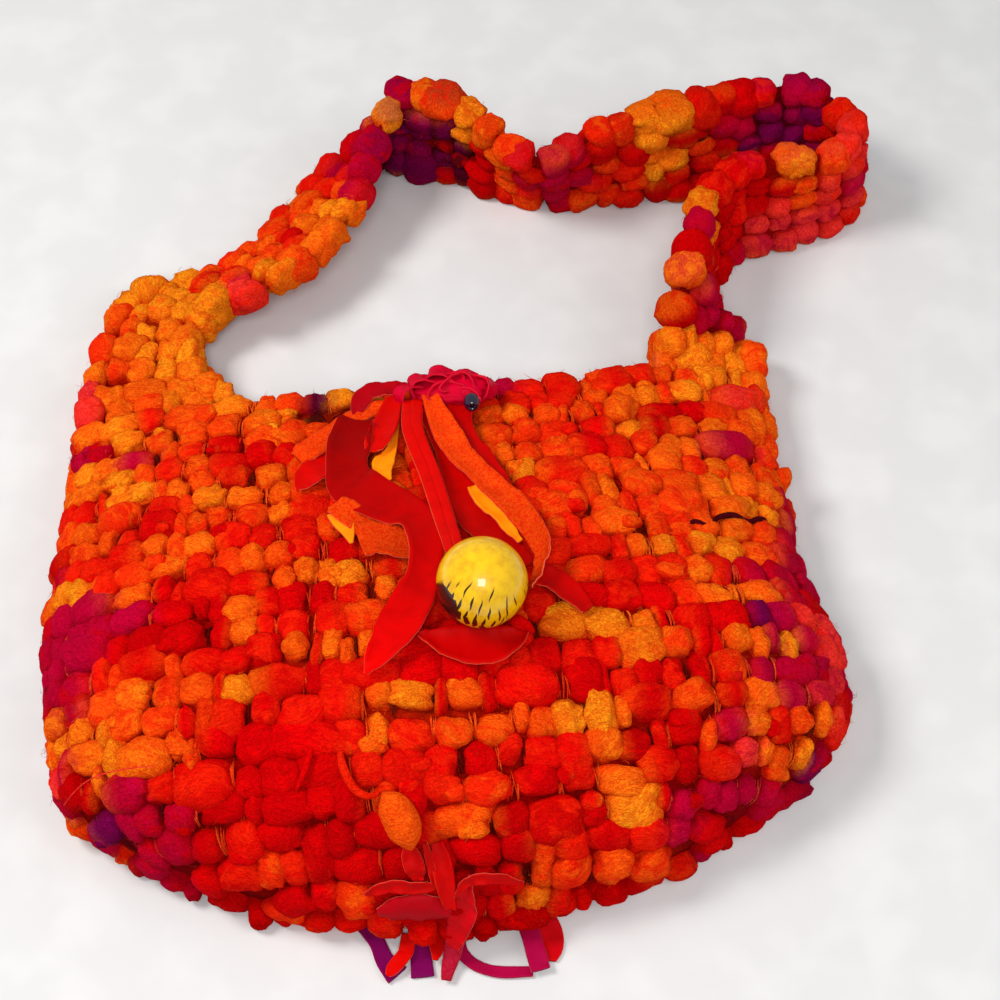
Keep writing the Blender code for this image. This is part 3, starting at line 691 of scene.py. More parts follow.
@dataclass(frozen=True)
class PlainFinish:
    """A finish of two near colours, for the glass bead and the floor."""

    name: str
    first: Row
    second: Row
    scale: float
    rough: float
    coat: float = 0.0

    def make(self) -> bpy.types.Material:
        """Build the material.

        Returns:
            The material.
        """
        shader = Shader(self.name)
        cloud = shader.noise(shader.place(), self.scale, 2.0, 0.5)
        colour = shader.mix(cloud.between(0.4, 0.7), linear(self.first), linear(self.second))
        shader.set(Base_Color=colour, Roughness=self.rough, Coat_Weight=self.coat, Coat_Roughness=0.02)
        return shader.material


class Bundle:
    """Gathers many small closed shapes into one mesh, with values at each point."""

    def __init__(self, name: str, **kinds: str) -> None:
        """Start an empty bundle.

        Args:
            name: the object's name.
            **kinds: the type of each attribute that its points have.
        """
        self.name, self.kinds = name, kinds
        self.points: list[Array] = []
        self.quads: list[Array] = []
        self.tris: list[Array] = []
        self.values: dict[str, list[Array]] = {n: [] for n in kinds}
        self.count = 0

    def add(self, points: Array, quads: Array, tris: Array = NO_TRIS, **values: Any) -> None:
        """Add one shape or many of the same build.

        Args:
            points: the points in millimetres, by shape and by point.
            quads: one shape's faces of four.
            tris: one shape's faces of three.
            **values: the values by attribute, which are spread over the shapes and their points.
        """
        points = points if points.ndim == 3 else points[None]
        copies, size = points.shape[:2]
        starts = self.count + size * np.arange(copies)[:, None, None]
        flat = points.reshape(-1, 3).copy()
        flat[:, 2] = np.maximum(flat[:, 2], FLOOR_CLEARANCE)
        self.points.append(flat)
        self.quads.append((np.asarray(quads, int).reshape(1, -1, 4) + starts).reshape(-1, 4))
        self.tris.append((np.asarray(tris, int).reshape(1, -1, 3) + starts).reshape(-1, 3))
        for name, kind in self.kinds.items():
            tail = () if kind == "FLOAT" else (3,)
            self.values[name].append(np.broadcast_to(values[name], (copies, size) + tail).reshape((-1,) + tail))
        self.count += len(flat)

    def build(self, material: bpy.types.Material) -> bpy.types.Object:
        """Make the object.

        Args:
            material: its finish.

        Returns:
            The object, linked to the scene.
        """
        points, quads, tris = (np.concatenate(part) for part in (self.points, self.quads, self.tris))
        mesh = bpy.data.meshes.new(self.name)
        mesh.vertices.add(len(points))
        mesh.vertices.foreach_set("co", (points * MM).astype(np.float32).ravel())
        loops = np.concatenate([quads.ravel(), tris.ravel()])
        mesh.loops.add(len(loops))
        mesh.loops.foreach_set("vertex_index", loops.astype(np.int32))
        starts = np.concatenate([np.arange(len(quads)) * 4, len(quads) * 4 + np.arange(len(tris)) * 3])
        mesh.polygons.add(len(starts))
        mesh.polygons.foreach_set("loop_start", starts.astype(np.int32))
        mesh.update(calc_edges=True)
        mesh.validate()
        mesh.shade_smooth()
        for name, kind in self.kinds.items():
            values = np.concatenate(self.values[name]).astype(np.float32)
            if kind == "FLOAT_COLOR":
                values = np.concatenate([values, np.ones((len(values), 1), np.float32)], axis=1)
            data = mesh.attributes.new(name, kind, "POINT").data
            key = {"FLOAT_COLOR": "color", "FLOAT_VECTOR": "vector", "FLOAT": "value"}[kind]
            data.foreach_set(key, values.ravel())
        mesh.materials.append(material)
        return add_object(self.name, mesh)


def yarn_bundle(name: str) -> Bundle:
    """An empty bundle of yarn."""
    return Bundle(name, dye="FLOAT_COLOR", streak="FLOAT_COLOR", lay="FLOAT_VECTOR", crest="FLOAT")


def leather_bundle(name: str) -> Bundle:
    """An empty bundle of leather."""
    return Bundle(name, hide="FLOAT_COLOR", nap="FLOAT", rim="FLOAT")


@dataclass(frozen=True)
class PouchForm:
    """The pouch's outer surface, the same as the solid's."""

    seam_y: float = 106.0
    bottom_y: float = -112.0
    corner_rise: float = 53.0
    row_sag: float = 20.0
    outline_x: float = 140.0
    corner_power: float = 16.0
    front_power: float = 2.4
    back_rounding: float = 14.0
    back_share: float = 0.6
    edge_height: float = 14.0
    edge_share: float = 0.6
    mouth_left: float = -48.0
    mouth_right: float = 82.0
    mouth_ease: float = 20.0
    rim_depth: float = 25.0
    front_drop: float = 3.0
    back_rise: float = 8.0
    # The front's line down its middle, y and z, and the half widths at each y, left and right
    crown: tuple[Row, ...] = (
        (106, 32), (85, 38), (60, 46), (20, 56), (-20, 62), (-50, 61), (-75, 53), (-92, 42), (-103, 29), (-109, 19),
        (-112, 11),
    )
    sides: tuple[Row, ...] = (
        (106, 137, 139), (70, 139, 137), (45, 140, 136.5), (20, 143.5, 136), (0, 144.5, 136), (-14, 144, 138.5),
        (-30, 143, 143), (-60, 141.5, 142), (-112, 141, 142),
    )

    def crown_line(self) -> Array:
        """The smooth line down the middle of the front, y and z."""
        return smooth_rows(self.crown, 8)

    def crown_at(self, row_y: Any) -> Any:
        """The front's height in the middle of a row."""
        line = self.crown_line()[::-1]
        return np.interp(row_y, line[:, 0], line[:, 1])

    def sag(self, row_y: Any) -> Any:
        """How far a row's ends lie above its middle."""
        return self.row_sag * np.maximum((self.seam_y - row_y) / (self.seam_y - self.bottom_y), 0.0) ** 1.5

    def reach(self, row_y: Any, x: Any) -> Any:
        """The half width of a row on the side where x lies.

        Args:
            row_y: the row's middle.
            x: the side.

        Returns:
            The half width.
        """
        share = np.maximum((row_y - self.bottom_y) / (self.corner_rise - self.sag(row_y)), 1e-4)
        table = np.asarray(self.sides, float)[::-1]
        left, right = (np.interp(row_y, table[:, 0], table[:, c]) for c in (1, 2))
        side = np.where(np.asarray(x) < 0, left, right)
        outline = self.outline_x * np.sqrt(share)
        return (outline ** -self.corner_power + side ** -self.corner_power) ** (-1 / self.corner_power)

    def height(self, x: Any, y: Any) -> Any:
        """The front's height over the surface that the purse lies on.

        Args:
            x: across.
            y: along.

        Returns:
            The height.
        """
        row_y = np.asarray(y, float)
        for _ in range(16):
            row_y = y - self.sag(row_y) * (np.asarray(x) / self.outline_x) ** 2
        row_y = np.clip(row_y, self.bottom_y, self.seam_y)
        crown = self.crown_at(row_y)
        low = np.minimum(self.edge_height, self.edge_share * crown)
        share = np.minimum(np.abs(x) / self.reach(row_y, x), 1.0)
        return low + (crown - low) * np.sqrt(1 - share ** self.front_power)

    def normal(self, x: Array, y: Array) -> Array:
        """The direction that the front faces.

        Args:
            x: across.
            y: along.

        Returns:
            The directions.
        """
        step = 2.0
        slope_x = (self.height(x + step, y) - self.height(x - step, y)) / (2 * step)
        slope_y = (self.height(x, y + step) - self.height(x, y - step)) / (2 * step)
        return unit(np.stack([-slope_x, -slope_y, np.ones_like(slope_x)], axis=-1))

    def mouth_share(self, x: Array) -> Array:
        """1 along the open mouth and 0 along the sewn corners."""
        left = ease((x - self.mouth_left + self.mouth_ease / 2) / self.mouth_ease)
        return left * ease((self.mouth_right + self.mouth_ease / 2 - x) / self.mouth_ease)

    def ring(self, row_y: float, crown: float) -> Array:
        """The closed line round the pouch at one row, the front from left to right and then the back.

        Args:
            row_y: the row's middle.
            crown: the front's height there.

        Returns:
            The points.
        """
        low = min(self.edge_height, self.edge_share * crown)
        rim = max(1 - (self.seam_y - row_y) / self.rim_depth, 0.0)
        lifted = min(max(1 - (row_y - self.bottom_y) / self.back_rounding, 0.0), 1.0)
        back_rise = 1 - math.sqrt(1 - lifted ** 2)
        u = np.sin(np.pi / 2 * np.linspace(-1, 1, FRONT_POINTS))
        half = self.reach(row_y, u)
        x = u * half
        lift = self.sag(row_y) * (x / self.outline_x) ** 2
        front_z = low + (crown - low) * np.sqrt(np.maximum(1 - np.abs(u) ** self.front_power, 0.0))
        front = np.stack([x, row_y + lift - rim * self.mouth_share(x) * self.front_drop, front_z], axis=1)
        inward = np.minimum((half - np.abs(x)) / np.minimum(self.back_rounding, self.back_share * half), 1.0)
        drop = np.sqrt(np.maximum(1 - (1 - inward) ** 2, 0.0))
        back_z = low * (1 - (1 - back_rise) * drop)
        back = np.stack([x, row_y + lift + rim * self.mouth_share(x) * self.back_rise, back_z], axis=1)
        return np.concatenate([front, back[-2:0:-1]])

    def frames(self, share: float) -> tuple[Array, Array, Array, Array, Array]:
        """The places round one row and the directions there.

        Args:
            share: how far the row is from the mouth to the bottom edge, from 0 to 1.

        Returns:
            The points, the directions along the row, towards the mouth and outward, and the way along.
        """
        line = self.crown_line()
        step = 0.006
        at = even_rows(line, line, np.clip(np.array([share, share - step, share + step]), 0.0, 0.995))
        here, above, below = (self.ring(row[0], row[1]) for row in at)
        tangent = unit(np.roll(here, -1, axis=0) - np.roll(here, 1, axis=0))
        towards = square(above - below, tangent)
        outward = unit(np.cross(tangent, towards))
        steps = np.linalg.norm(np.diff(here, axis=0, append=here[:1]), axis=1)
        way = np.concatenate([[0.0], np.cumsum(steps)[:-1]])
        return here, tangent, towards, outward, way


@dataclass
class Puffs:
    """Where puffs lie and how they are dyed: one row of every array for each puff."""

    middle: Array
    along: Array
    towards: Array
    outward: Array
    half: Array
    open_end: Array
    dye: Array
    dye_last: Array
    dye_next: Array
    streak: Array

    @staticmethod
    def gather(rows: Sequence[Sequence[Any]], base: Array, streak: Array) -> Puffs:
        """The puffs of a list of rows, each of which runs into the dyes of its neighbours in the list."""
        return Puffs(*columns(rows, 6), base, np.roll(base, 1, axis=0), np.roll(base, -1, axis=0), streak)

    def pick(self, chosen: Array) -> Puffs:
        """Some of the puffs, chosen by a mask or by their places."""
        return Puffs(*(getattr(self, name)[chosen] for name in self.__dataclass_fields__))


@dataclass
class PuffShape:
    """A puff of felted yarn: a soft barrel between two pinches, uneven all over."""

    rings: int
    sides: int
    both_faces: bool = False
    fullness: float = 0.56
    squareness: float = 0.86
    fluff: float = 2.6
    # How far its fibres turn on its face, whole and from end to end, and how far they are moved in their noise
    spin: float = 0.7
    twist: float = 0.6
    apart: float = 400.0
    # Sets of waves that make a puff uneven: how many, from and to what frequency, and how high
    waves: tuple[Row, ...] = ((4, 1.4, 3.0, 0.055), (8, 4.5, 10.0, 0.026))

    def template(self) -> tuple[Array, Array, Array]:
        """The even puff: its points, its faces of four and its faces of three."""
        angles = np.pi * np.arange(1, self.rings) / self.rings
        turns = circle(self.sides)
        along = -np.cos(angles)[:, None] * np.ones(self.sides)
        girth = np.sin(angles)[:, None] ** self.fullness
        up, out = (np.sign(part) * np.abs(part) ** self.squareness for part in (np.cos(turns), np.sin(turns)))
        points = np.stack([along, girth * up, girth * out], axis=2).reshape(-1, 3)
        return np.concatenate([points, [[-1.0, 0, 0], [1.0, 0, 0]]]), *skin(self.rings - 1, self.sides)

    def swell(self, points: Array, count: int, rng: np.random.Generator) -> Array:
        """How far each puff stands out at each point.

        Args:
            points: the even puff's points.
            count: how many puffs there are.
            rng: the draw of the waves.

        Returns:
            The swell by puff and point.
        """
        out = np.zeros((count, len(points)))
        for number, low, high, rise in self.waves:
            ways = unit(rng.normal(0.0, 1.0, (count, int(number), 3))) * rng.uniform(low, high, (count, int(number), 1))
            out += np.sin(ways @ points.T + rng.uniform(0, 2 * np.pi, (count, int(number), 1))).sum(axis=1) * rise
        return out

    def lay(self, bundle: Bundle, puffs: Puffs, rng: np.random.Generator) -> None:
        """Add every puff to a bundle.

        Args:
            bundle: what they are added to.
            puffs: where they lie.
            rng: the draw of their unevenness.
        """
        points, quads, tris = self.template()
        count = len(puffs.middle)
        fluff = 0.9 + self.fluff * puffs.dye[:, None, 1]
        local = points[None] * (1 + self.swell(points, count, rng) * fluff)[:, :, None] * puffs.half[:, None, :]
        axes = np.stack([puffs.along, puffs.towards, puffs.outward], axis=1)
        world = puffs.middle[:, None, :] + np.einsum("nvk,nkx->nvx", local, axes)
        share = points[None, :, :1]
        ahead, behind = ease(share * 0.9) * 0.5, ease(-share * 0.9) * 0.5
        dye = puffs.dye[:, None] * (1 - ahead - behind) + puffs.dye_next[:, None] * ahead
        dye = dye + puffs.dye_last[:, None] * behind
        spin = rng.uniform(-self.spin, self.spin, (count, 1))
        spin = spin + share[:, :, 0] * rng.uniform(-self.twist, self.twist, (count, 1))
        lay = local.copy()
        lay[:, :, 0] = local[:, :, 0] * np.cos(spin) - local[:, :, 1] * np.sin(spin)
        lay[:, :, 1] = local[:, :, 0] * np.sin(spin) + local[:, :, 1] * np.cos(spin)
        lay = lay + rng.uniform(0, self.apart, (count, 1, 3))
        # The crest: how near a point is to its puff's top, or to a strap edge puff's open end; the felt's painted shade
        # of the sides falls where it is low
        top = np.abs(points[:, 2]) if self.both_faces else points[:, 2]
        crest = np.maximum(top[None], points[None, :, 0] * puffs.open_end[:, None] * 0.95)
        bundle.add(world, quads, tris, dye=dye, streak=puffs.streak[:, None], lay=lay, crest=np.clip(crest, 0, 1))


@dataclass
class Gaps:
    """Where the yarn is pinched between puffs: one row of every array for each pinch."""

    middle: Array
    along: Array
    towards: Array
    outward: Array
    wide: Array
    tall: Array
    dye: Array


class DyeChart:
    """Gives each place on the yarn its dye: mostly its area's, or else that of a lump nearby."""

    area_share = 0.78
    kin_share = 0.22
    second_share = 0.3
    # How much further than its table says a dye of the strap reaches, and from how many reaches on it may turn to kin
    margin = 1.5
    far = 2.0
    # From and to how much of its kin a puff takes in, and how bright it is
    blends = (0.0, 0.30)
    tones = (0.86, 1.10)

    def __init__(self) -> None:
        """Read the charts of the pouch and of the strap."""
        lumps, self.lump_dyes = self.read({dye: rows for dye, rows in LUMPS.items() if dye is not Dye.BROWN})
        self.lumps = lumps[:, :2]
        self.areas, self.area_dyes = self.read(AREAS)
        self.strap, self.strap_dyes = self.read(STRAP_DYES)

    @staticmethod
    def read(table: dict[Dye, tuple[Row, ...]]) -> tuple[Array, list[Dye]]:
        """A table's rows and the dye of each row."""
        rows = [row for rows in table.values() for row in rows]
        return np.array(rows, float), [dye for dye, rows in table.items() for _ in rows]

    def on_pouch(self, x: float, y: float, rng: np.random.Generator) -> Dye:
        """The dye of a puff between the noted ones.

        Args:
            x: across.
            y: along.
            rng: the draw between the dyes nearby.

        Returns:
            The dye.
        """
        if rng.uniform() < self.area_share:
            away = np.hypot((self.areas[:, 0] - x) / self.areas[:, 2], (self.areas[:, 1] - y) / self.areas[:, 3])
            dye = self.area_dyes[int(away.argmin())]
        else:
            away = np.hypot(self.lumps[:, 0] - x, (self.lumps[:, 1] - y) * 1.5)
            near = np.argsort(away)[:2]
            dye = self.lump_dyes[int(near[int(rng.uniform() < self.second_share)])]
        return dye.kin[int(rng.uniform() > 0.5)] if rng.uniform() < self.kin_share else dye

    def on_strap(self, middles: Array, rng: np.random.Generator) -> list[Dye]:
        """The dye of each puff of the strap.

        Args:
            middles: where the puffs lie.
            rng: the draw of the few that differ.

        Returns:
            The dyes.
        """
        away = np.linalg.norm(middles[:, None] - self.strap[None, :, :3], axis=2)
        away = away / (self.strap[None, :, 3] + self.margin)
        best, draws = away.argmin(axis=1), rng.uniform(0, 1, len(middles))
        far = away[np.arange(len(middles)), best] > self.far
        return [
            self.strap_dyes[at].kin[int(draw > 0.5)] if off and (draw * 7) % 1 > 0.4 else self.strap_dyes[at]
            for at, off, draw in zip(best, far, draws)
        ]

    def around(self, points: Array, chart: Array, dyes: list[Dye]) -> Array:
        """The even colour of the yarn at some points.

        Args:
            points: the points.
            chart: the places of the dyes.
            dyes: the dyes.

        Returns:
            The linear colours.
        """
        size = min(chart.shape[1], 3)
        away = np.linalg.norm(points[:, None, :size] - chart[None, :, :size], axis=2)
        odds = 1 / (away + 3.0) ** 4
        return (odds / odds.sum(axis=1, keepdims=True)) @ np.array([dye.light for dye in dyes])

    def shades(self, dyes: list[Dye], rng: np.random.Generator) -> tuple[Array, Array]:
        """The colours and the streak colours of the puffs.

        Args:
            dyes: their dyes.
            rng: the draw of their shades.

        Returns:
            The two arrays of colours.
        """
        count = len(dyes)
        base = np.array([dye.light for dye in dyes])
        near = np.array([dye.kin[int(pick)].light for dye, pick in zip(dyes, rng.integers(0, 2, count))])
        blend = rng.uniform(*self.blends, (count, 1))
        base = (base * (1 - blend) + near * blend) * rng.uniform(*self.tones, (count, 1))
        return np.clip(base, 0.0, 1.0), np.clip(near, 0.0, 1.0)


@dataclass
class Span:
    """One puff's stretch of its row, with its height across the row and its shift towards the mouth."""

    start: float
    end: float
    tall: float
    shift: float
    dye: Dye | None = None


@dataclass
class PouchYarn:
    """The pouch's rows of puffs, front and back."""

    form: PouchForm
    chart: DyeChart
    pitch: float = 11.2
    spacing: float = 11.4
    depth: float = 4.4
    half_thickness: float = 5.4
    most_shift: float = 1.8
    smallest: float = 4.0
    # The gaps between filling puffs, how likely each is, and how uneven the puffs are
    gaps: Row = (0.0, 1.2, 3.6)
    gap_odds: Row = (0.70, 0.18, 0.12)
    unevenness: float = 0.24
    heights: tuple[float, float] = (1.06, 1.28)
    # How far puffs press into their neighbours along and across the row, and how much they lean in it
    overlap: tuple[float, float] = (1.15, 1.08)
    lean: float = 0.10
    tuft_share: float = 0.16
    # The half thickness of the dark puffs in the mouth, which are painted shade of its opening, and how much deeper
    # they lie
    dark_half: float = 3.6
    dark_depth: float = 2.6
    seed: int = 11

    def noted(self, rows: list[tuple[Array, ...]]) -> list[list[Span]]:
        """Give each noted lump to the row that it lies nearest.

        Args:
            rows: the frames of every row.

        Returns:
            The noted spans of each row.
        """
        spans: list[list[Span]] = [[] for _ in rows]
        for dye, lumps in LUMPS.items():
            for x, y, wide, tall in lumps:
                place = np.array([x, y, float(self.form.height(x, y))])
                away = [float(np.linalg.norm(row[0][:FRONT_POINTS] - place, axis=1).min()) for row in rows]
                best = int(np.argmin(away))
                here, tangent, towards, _, way = rows[best]
                at = int(np.linalg.norm(here[:FRONT_POINTS] - place, axis=1).argmin())
                off = place - here[at]
                middle = way[at] + float(off @ tangent[at])
                shift = float(np.clip(off @ towards[at], -self.most_shift, self.most_shift))
                spans[best].append(Span(middle - wide / 2, middle + wide / 2, tall, shift, dye))
        for row in spans:
            row.sort(key=lambda span: span.start + span.end)
            for one, two in zip(row, row[1:]):
                if one.end > two.start:
                    one.end = two.start = (one.end + two.start) / 2
        return [[span for span in row if span.end - span.start > self.smallest and span.start > 0] for row in spans]

    def fill(self, noted: list[Span], whole: float, rng: np.random.Generator) -> list[Span]:
        """Fill a row between its noted spans.

        Args:
            noted: the noted spans, in order.
            whole: how long the row is.
            rng: the draw of the others.

        Returns:
            All of the row's spans, in order.
        """
        out: list[Span] = []
        place = 0.0
        for span in noted + [Span(whole, whole, 0.0, 0.0)]:
            free = span.start - place
            if free > self.smallest:
                count = max(round(free / self.spacing), 1)
                gaps = rng.choice(self.gaps, count + 1, p=self.gap_odds)
                gaps = gaps * min(1.0, 0.35 * free / max(gaps.sum(), 1e-6))
                widths = rng.lognormal(0, self.unevenness, count)
                widths = widths / widths.sum() * (free - gaps.sum())
                at = place + gaps[0]
                for width, gap in zip(widths, gaps[1:]):
                    out.append(Span(at, at + width, self.pitch * rng.uniform(*self.heights), rng.normal(0, 0.7)))
                    at += width + gap
            if span.end > span.start:
                out.append(span)
            place = span.end
        return out

    def place(self) -> tuple[Puffs, Array, Gaps]:
        """Lay the puffs out, row by row.

        Returns:
            The puffs, which of them are on the front, and the pinches between them on the front.
        """
        rng = np.random.default_rng(self.seed)
        line = self.form.crown_line()
        count = round(float(np.linalg.norm(np.diff(line, axis=0), axis=1).sum()) / self.pitch)
        rows = [self.form.frames((row + 0.5) / count) for row in range(count)]
        kept: list[tuple[Any, ...]] = []
        pinches: list[tuple[Any, ...]] = []
        for row, spans in zip(rows, self.noted(rows)):
            whole = row[4][-1] + float(np.linalg.norm(row[0][0] - row[0][-1]))
            last: tuple[float, Array] | None = None
            for span in self.fill(spans, whole, rng):
                puff = self.puff(row, span, rng)
                kept.append(puff)
                dye, front = puff[6:]
                if last is not None and front:
                    edge = (last[0] + span.start) / 2
                    pinches.append((*self.at(row, edge), span.start - last[0], self.pitch, (last[1] + dye.light) / 2))
                last = (span.end, dye.light)
                if front and rng.uniform() < self.tuft_share and dye is not Dye.BROWN:
                    kept.append(self.tuft(puff, rng))
        puffs = Puffs.gather(kept, *self.chart.shades([row[6] for row in kept], rng))
        return puffs, np.array([row[7] for row in kept]), Gaps(*columns(pinches, 7))

    def puff(self, row: tuple[Array, ...], span: Span, rng: np.random.Generator) -> tuple[Any, ...]:
        """The puff of one span.

        Args:
            row: its row's frames.
            span: the span.
            rng: the draw of its dye, its thickness and its lean.

        Returns:
            Its middle, three directions, half sizes, open end and dye, and whether it is on the front.
        """
        middle, wide, tall, dye = (span.start + span.end) / 2, span.end - span.start, span.tall, span.dye
        surface, along, towards, outward = self.at(row, middle)
        front = middle < row[4][FRONT_POINTS - 1]
        if dye is None:
            dye = self.chart.on_pouch(surface[0] if front else -surface[0], surface[1], rng)
            deep = self.half_thickness * rng.uniform(0.9, 1.12) * (min(wide, tall) / 11) ** 0.35
            depth = self.depth + rng.normal(0, 0.35)
        else:
            deep, depth = float(np.clip(min(wide, tall) / 2, 5.0, 6.8)), self.depth - 0.3
            tall = float(np.clip(tall, self.pitch * 0.95, self.pitch * 1.4))
        # The puffs of painted shade in the mouth are thinner and sunk deeper
        if dye is Dye.BROWN:
            deep, depth = self.dark_half, self.depth + self.dark_depth
        half = (wide * 0.5 * self.overlap[0], tall * 0.5 * self.overlap[1], deep)
        lean = rng.normal(0, self.lean)
        turned = along * math.cos(lean) + towards * math.sin(lean)
        across = towards * math.cos(lean) - along * math.sin(lean)
        return surface + towards * span.shift - outward * depth, turned, across, outward, half, 0.0, dye, front

    def tuft(self, puff: tuple[Any, ...], rng: np.random.Generator) -> tuple[Any, ...]:
        """A small tuft of yarn that stands out of a puff.

        Args:
            puff: the puff.
            rng: the draw of the tuft.

        Returns:
            What a puff has, for the tuft.
        """
        spot, along, across, outward, half, _, dye, _ = puff
        turn = rng.uniform(0, 2 * np.pi)
        spot = spot + along * half[0] * 0.62 * math.cos(turn) + across * half[1] * 0.62 * math.sin(turn)
        spot = spot + outward * half[2] * rng.uniform(0.40, 0.62)
        small = rng.uniform(2.3, 3.6)
        size = (small * rng.uniform(1.0, 1.6), small, small * 0.9)
        own = dye.kin[int(rng.uniform() > 0.5)] if rng.uniform() < 0.4 else dye
        return spot, along, across, outward, size, 0.0, own, True

    def at(self, row: tuple[Array, ...], place: float) -> tuple[Array, Array, Array, Array]:
        """The point and the directions at one place along a row.

        Args:
            row: the row's frames.
            place: the way along it.

        Returns:
            The point and the directions along the row, towards the mouth and outward.
        """
        here, _, towards, _, way = row
        whole = way[-1] + float(np.linalg.norm(here[0] - here[-1]))
        ways = np.append(way, whole)
        point, ahead, up = (
            np.array([np.interp(p % whole, ways, np.append(values[:, c], values[0, c])) for c in range(3)])
            for values, p in ((here, place), (here, place + 2.0), (towards, place))
        )
        behind = np.array([np.interp((place - 2.0) % whole, ways, np.append(here[:, c], here[0, c])) for c in range(3)])
        along = unit(ahead - behind)
        up = square(up, along)
        return point, along, up, np.cross(along, up)


@dataclass(frozen=True)
class StrapForm:
    """The strap's band, from the left corner round to the right one: both edges and the thickness."""

    pitch: float = 11.0
    # Places along it: x, y and z of the low edge, the same of the high one, and the thickness
    rows: tuple[Row, ...] = (
        (-136.5, 106.35, 11, -71, 106.35, 11, 22), (-134, 128, 10, -80, 124, 12, 19),
        (-130, 148.5, 8, -87, 137, 14, 16), (-124, 168.5, 6, -86, 147, 17, 14), (-116, 182.5, 4, -78, 157, 19, 13),
        (-101, 190.5, 3, -70, 160, 22, 12), (-82, 195.5, 2.5, -57, 163.5, 26, 12),
        (-65, 208.5, 2.5, -39.5, 176, 26, 12), (-50, 227, 2, -23, 195, 26, 12), (-38.5, 243, 2, -15, 209.5, 29, 12),
        (-27, 252, 1.5, -10, 224, 36, 12), (-16, 257, 1, -4, 240, 43, 12), (-4, 256, 0.5, 3, 254, 47, 12),
        (8, 250, 0, 12, 258, 47, 12), (21, 247, 0, 23, 251, 47, 12), (35, 242, 0, 37, 238, 47, 12),
        (49, 234, 0, 48, 220, 44, 12), (63, 228, 0, 59, 211, 42, 12), (79, 226, 0, 72, 216, 45, 12),
        (94, 225, 0, 89, 226, 47, 12), (112, 224, 0, 108, 232, 47, 12), (135, 225, 0, 131, 237, 47, 12),
        (159, 226, 0, 156, 243, 46, 12), (183, 226, 0, 179, 245, 45, 12), (195.5, 220.5, 0, 190.5, 230, 46, 12),
        (200.5, 212, 0, 195.5, 213, 47, 12), (195, 202.5, 0, 189, 203, 47, 12), (180, 195, 0, 175.5, 200.5, 46, 12),
        (161, 188.5, 0, 159, 201.5, 45, 12), (146, 184.5, 0, 144, 201, 44, 12), (133, 175.5, 0, 127, 186, 46, 12),
        (126.5, 161, 0, 118, 163, 47, 12), (127, 147, 2, 111, 142, 46, 13), (134, 134, 6, 102, 128, 37, 15),
        (139, 121, 10, 96, 119, 21, 18), (139, 106.35, 11, 94, 106.35, 11, 22),
    )

    def stations(self, shares: Array) -> tuple[Array, Array, Array, Array]:
        """The band at some shares of its length.

        Args:
            shares: how far along, from 0 to 1.

        Returns:
            The low edges, the high edges, the thicknesses and the directions along the band.
        """
        fine, middles = self.line()
        near = (np.clip(shares + step, 0, 1) for step in (0, 0.01, -0.01))
        at, ahead, behind = (even_rows(fine, middles, goals) for goals in near)
        along = (ahead[:, 0:3] + ahead[:, 3:6]) - (behind[:, 0:3] + behind[:, 3:6])
        return at[:, 0:3], at[:, 3:6], at[:, 6], unit(along)

    def line(self) -> tuple[Array, Array]:
        """The smooth rows along the band and the points in the middle of them."""
        fine = smooth_rows(self.rows, 6)
        return fine, (fine[:, 0:3] + fine[:, 3:6]) / 2

    def length(self) -> float:
        """The band's length along its middle."""
        return float(np.linalg.norm(np.diff(self.line()[1], axis=0), axis=1).sum())


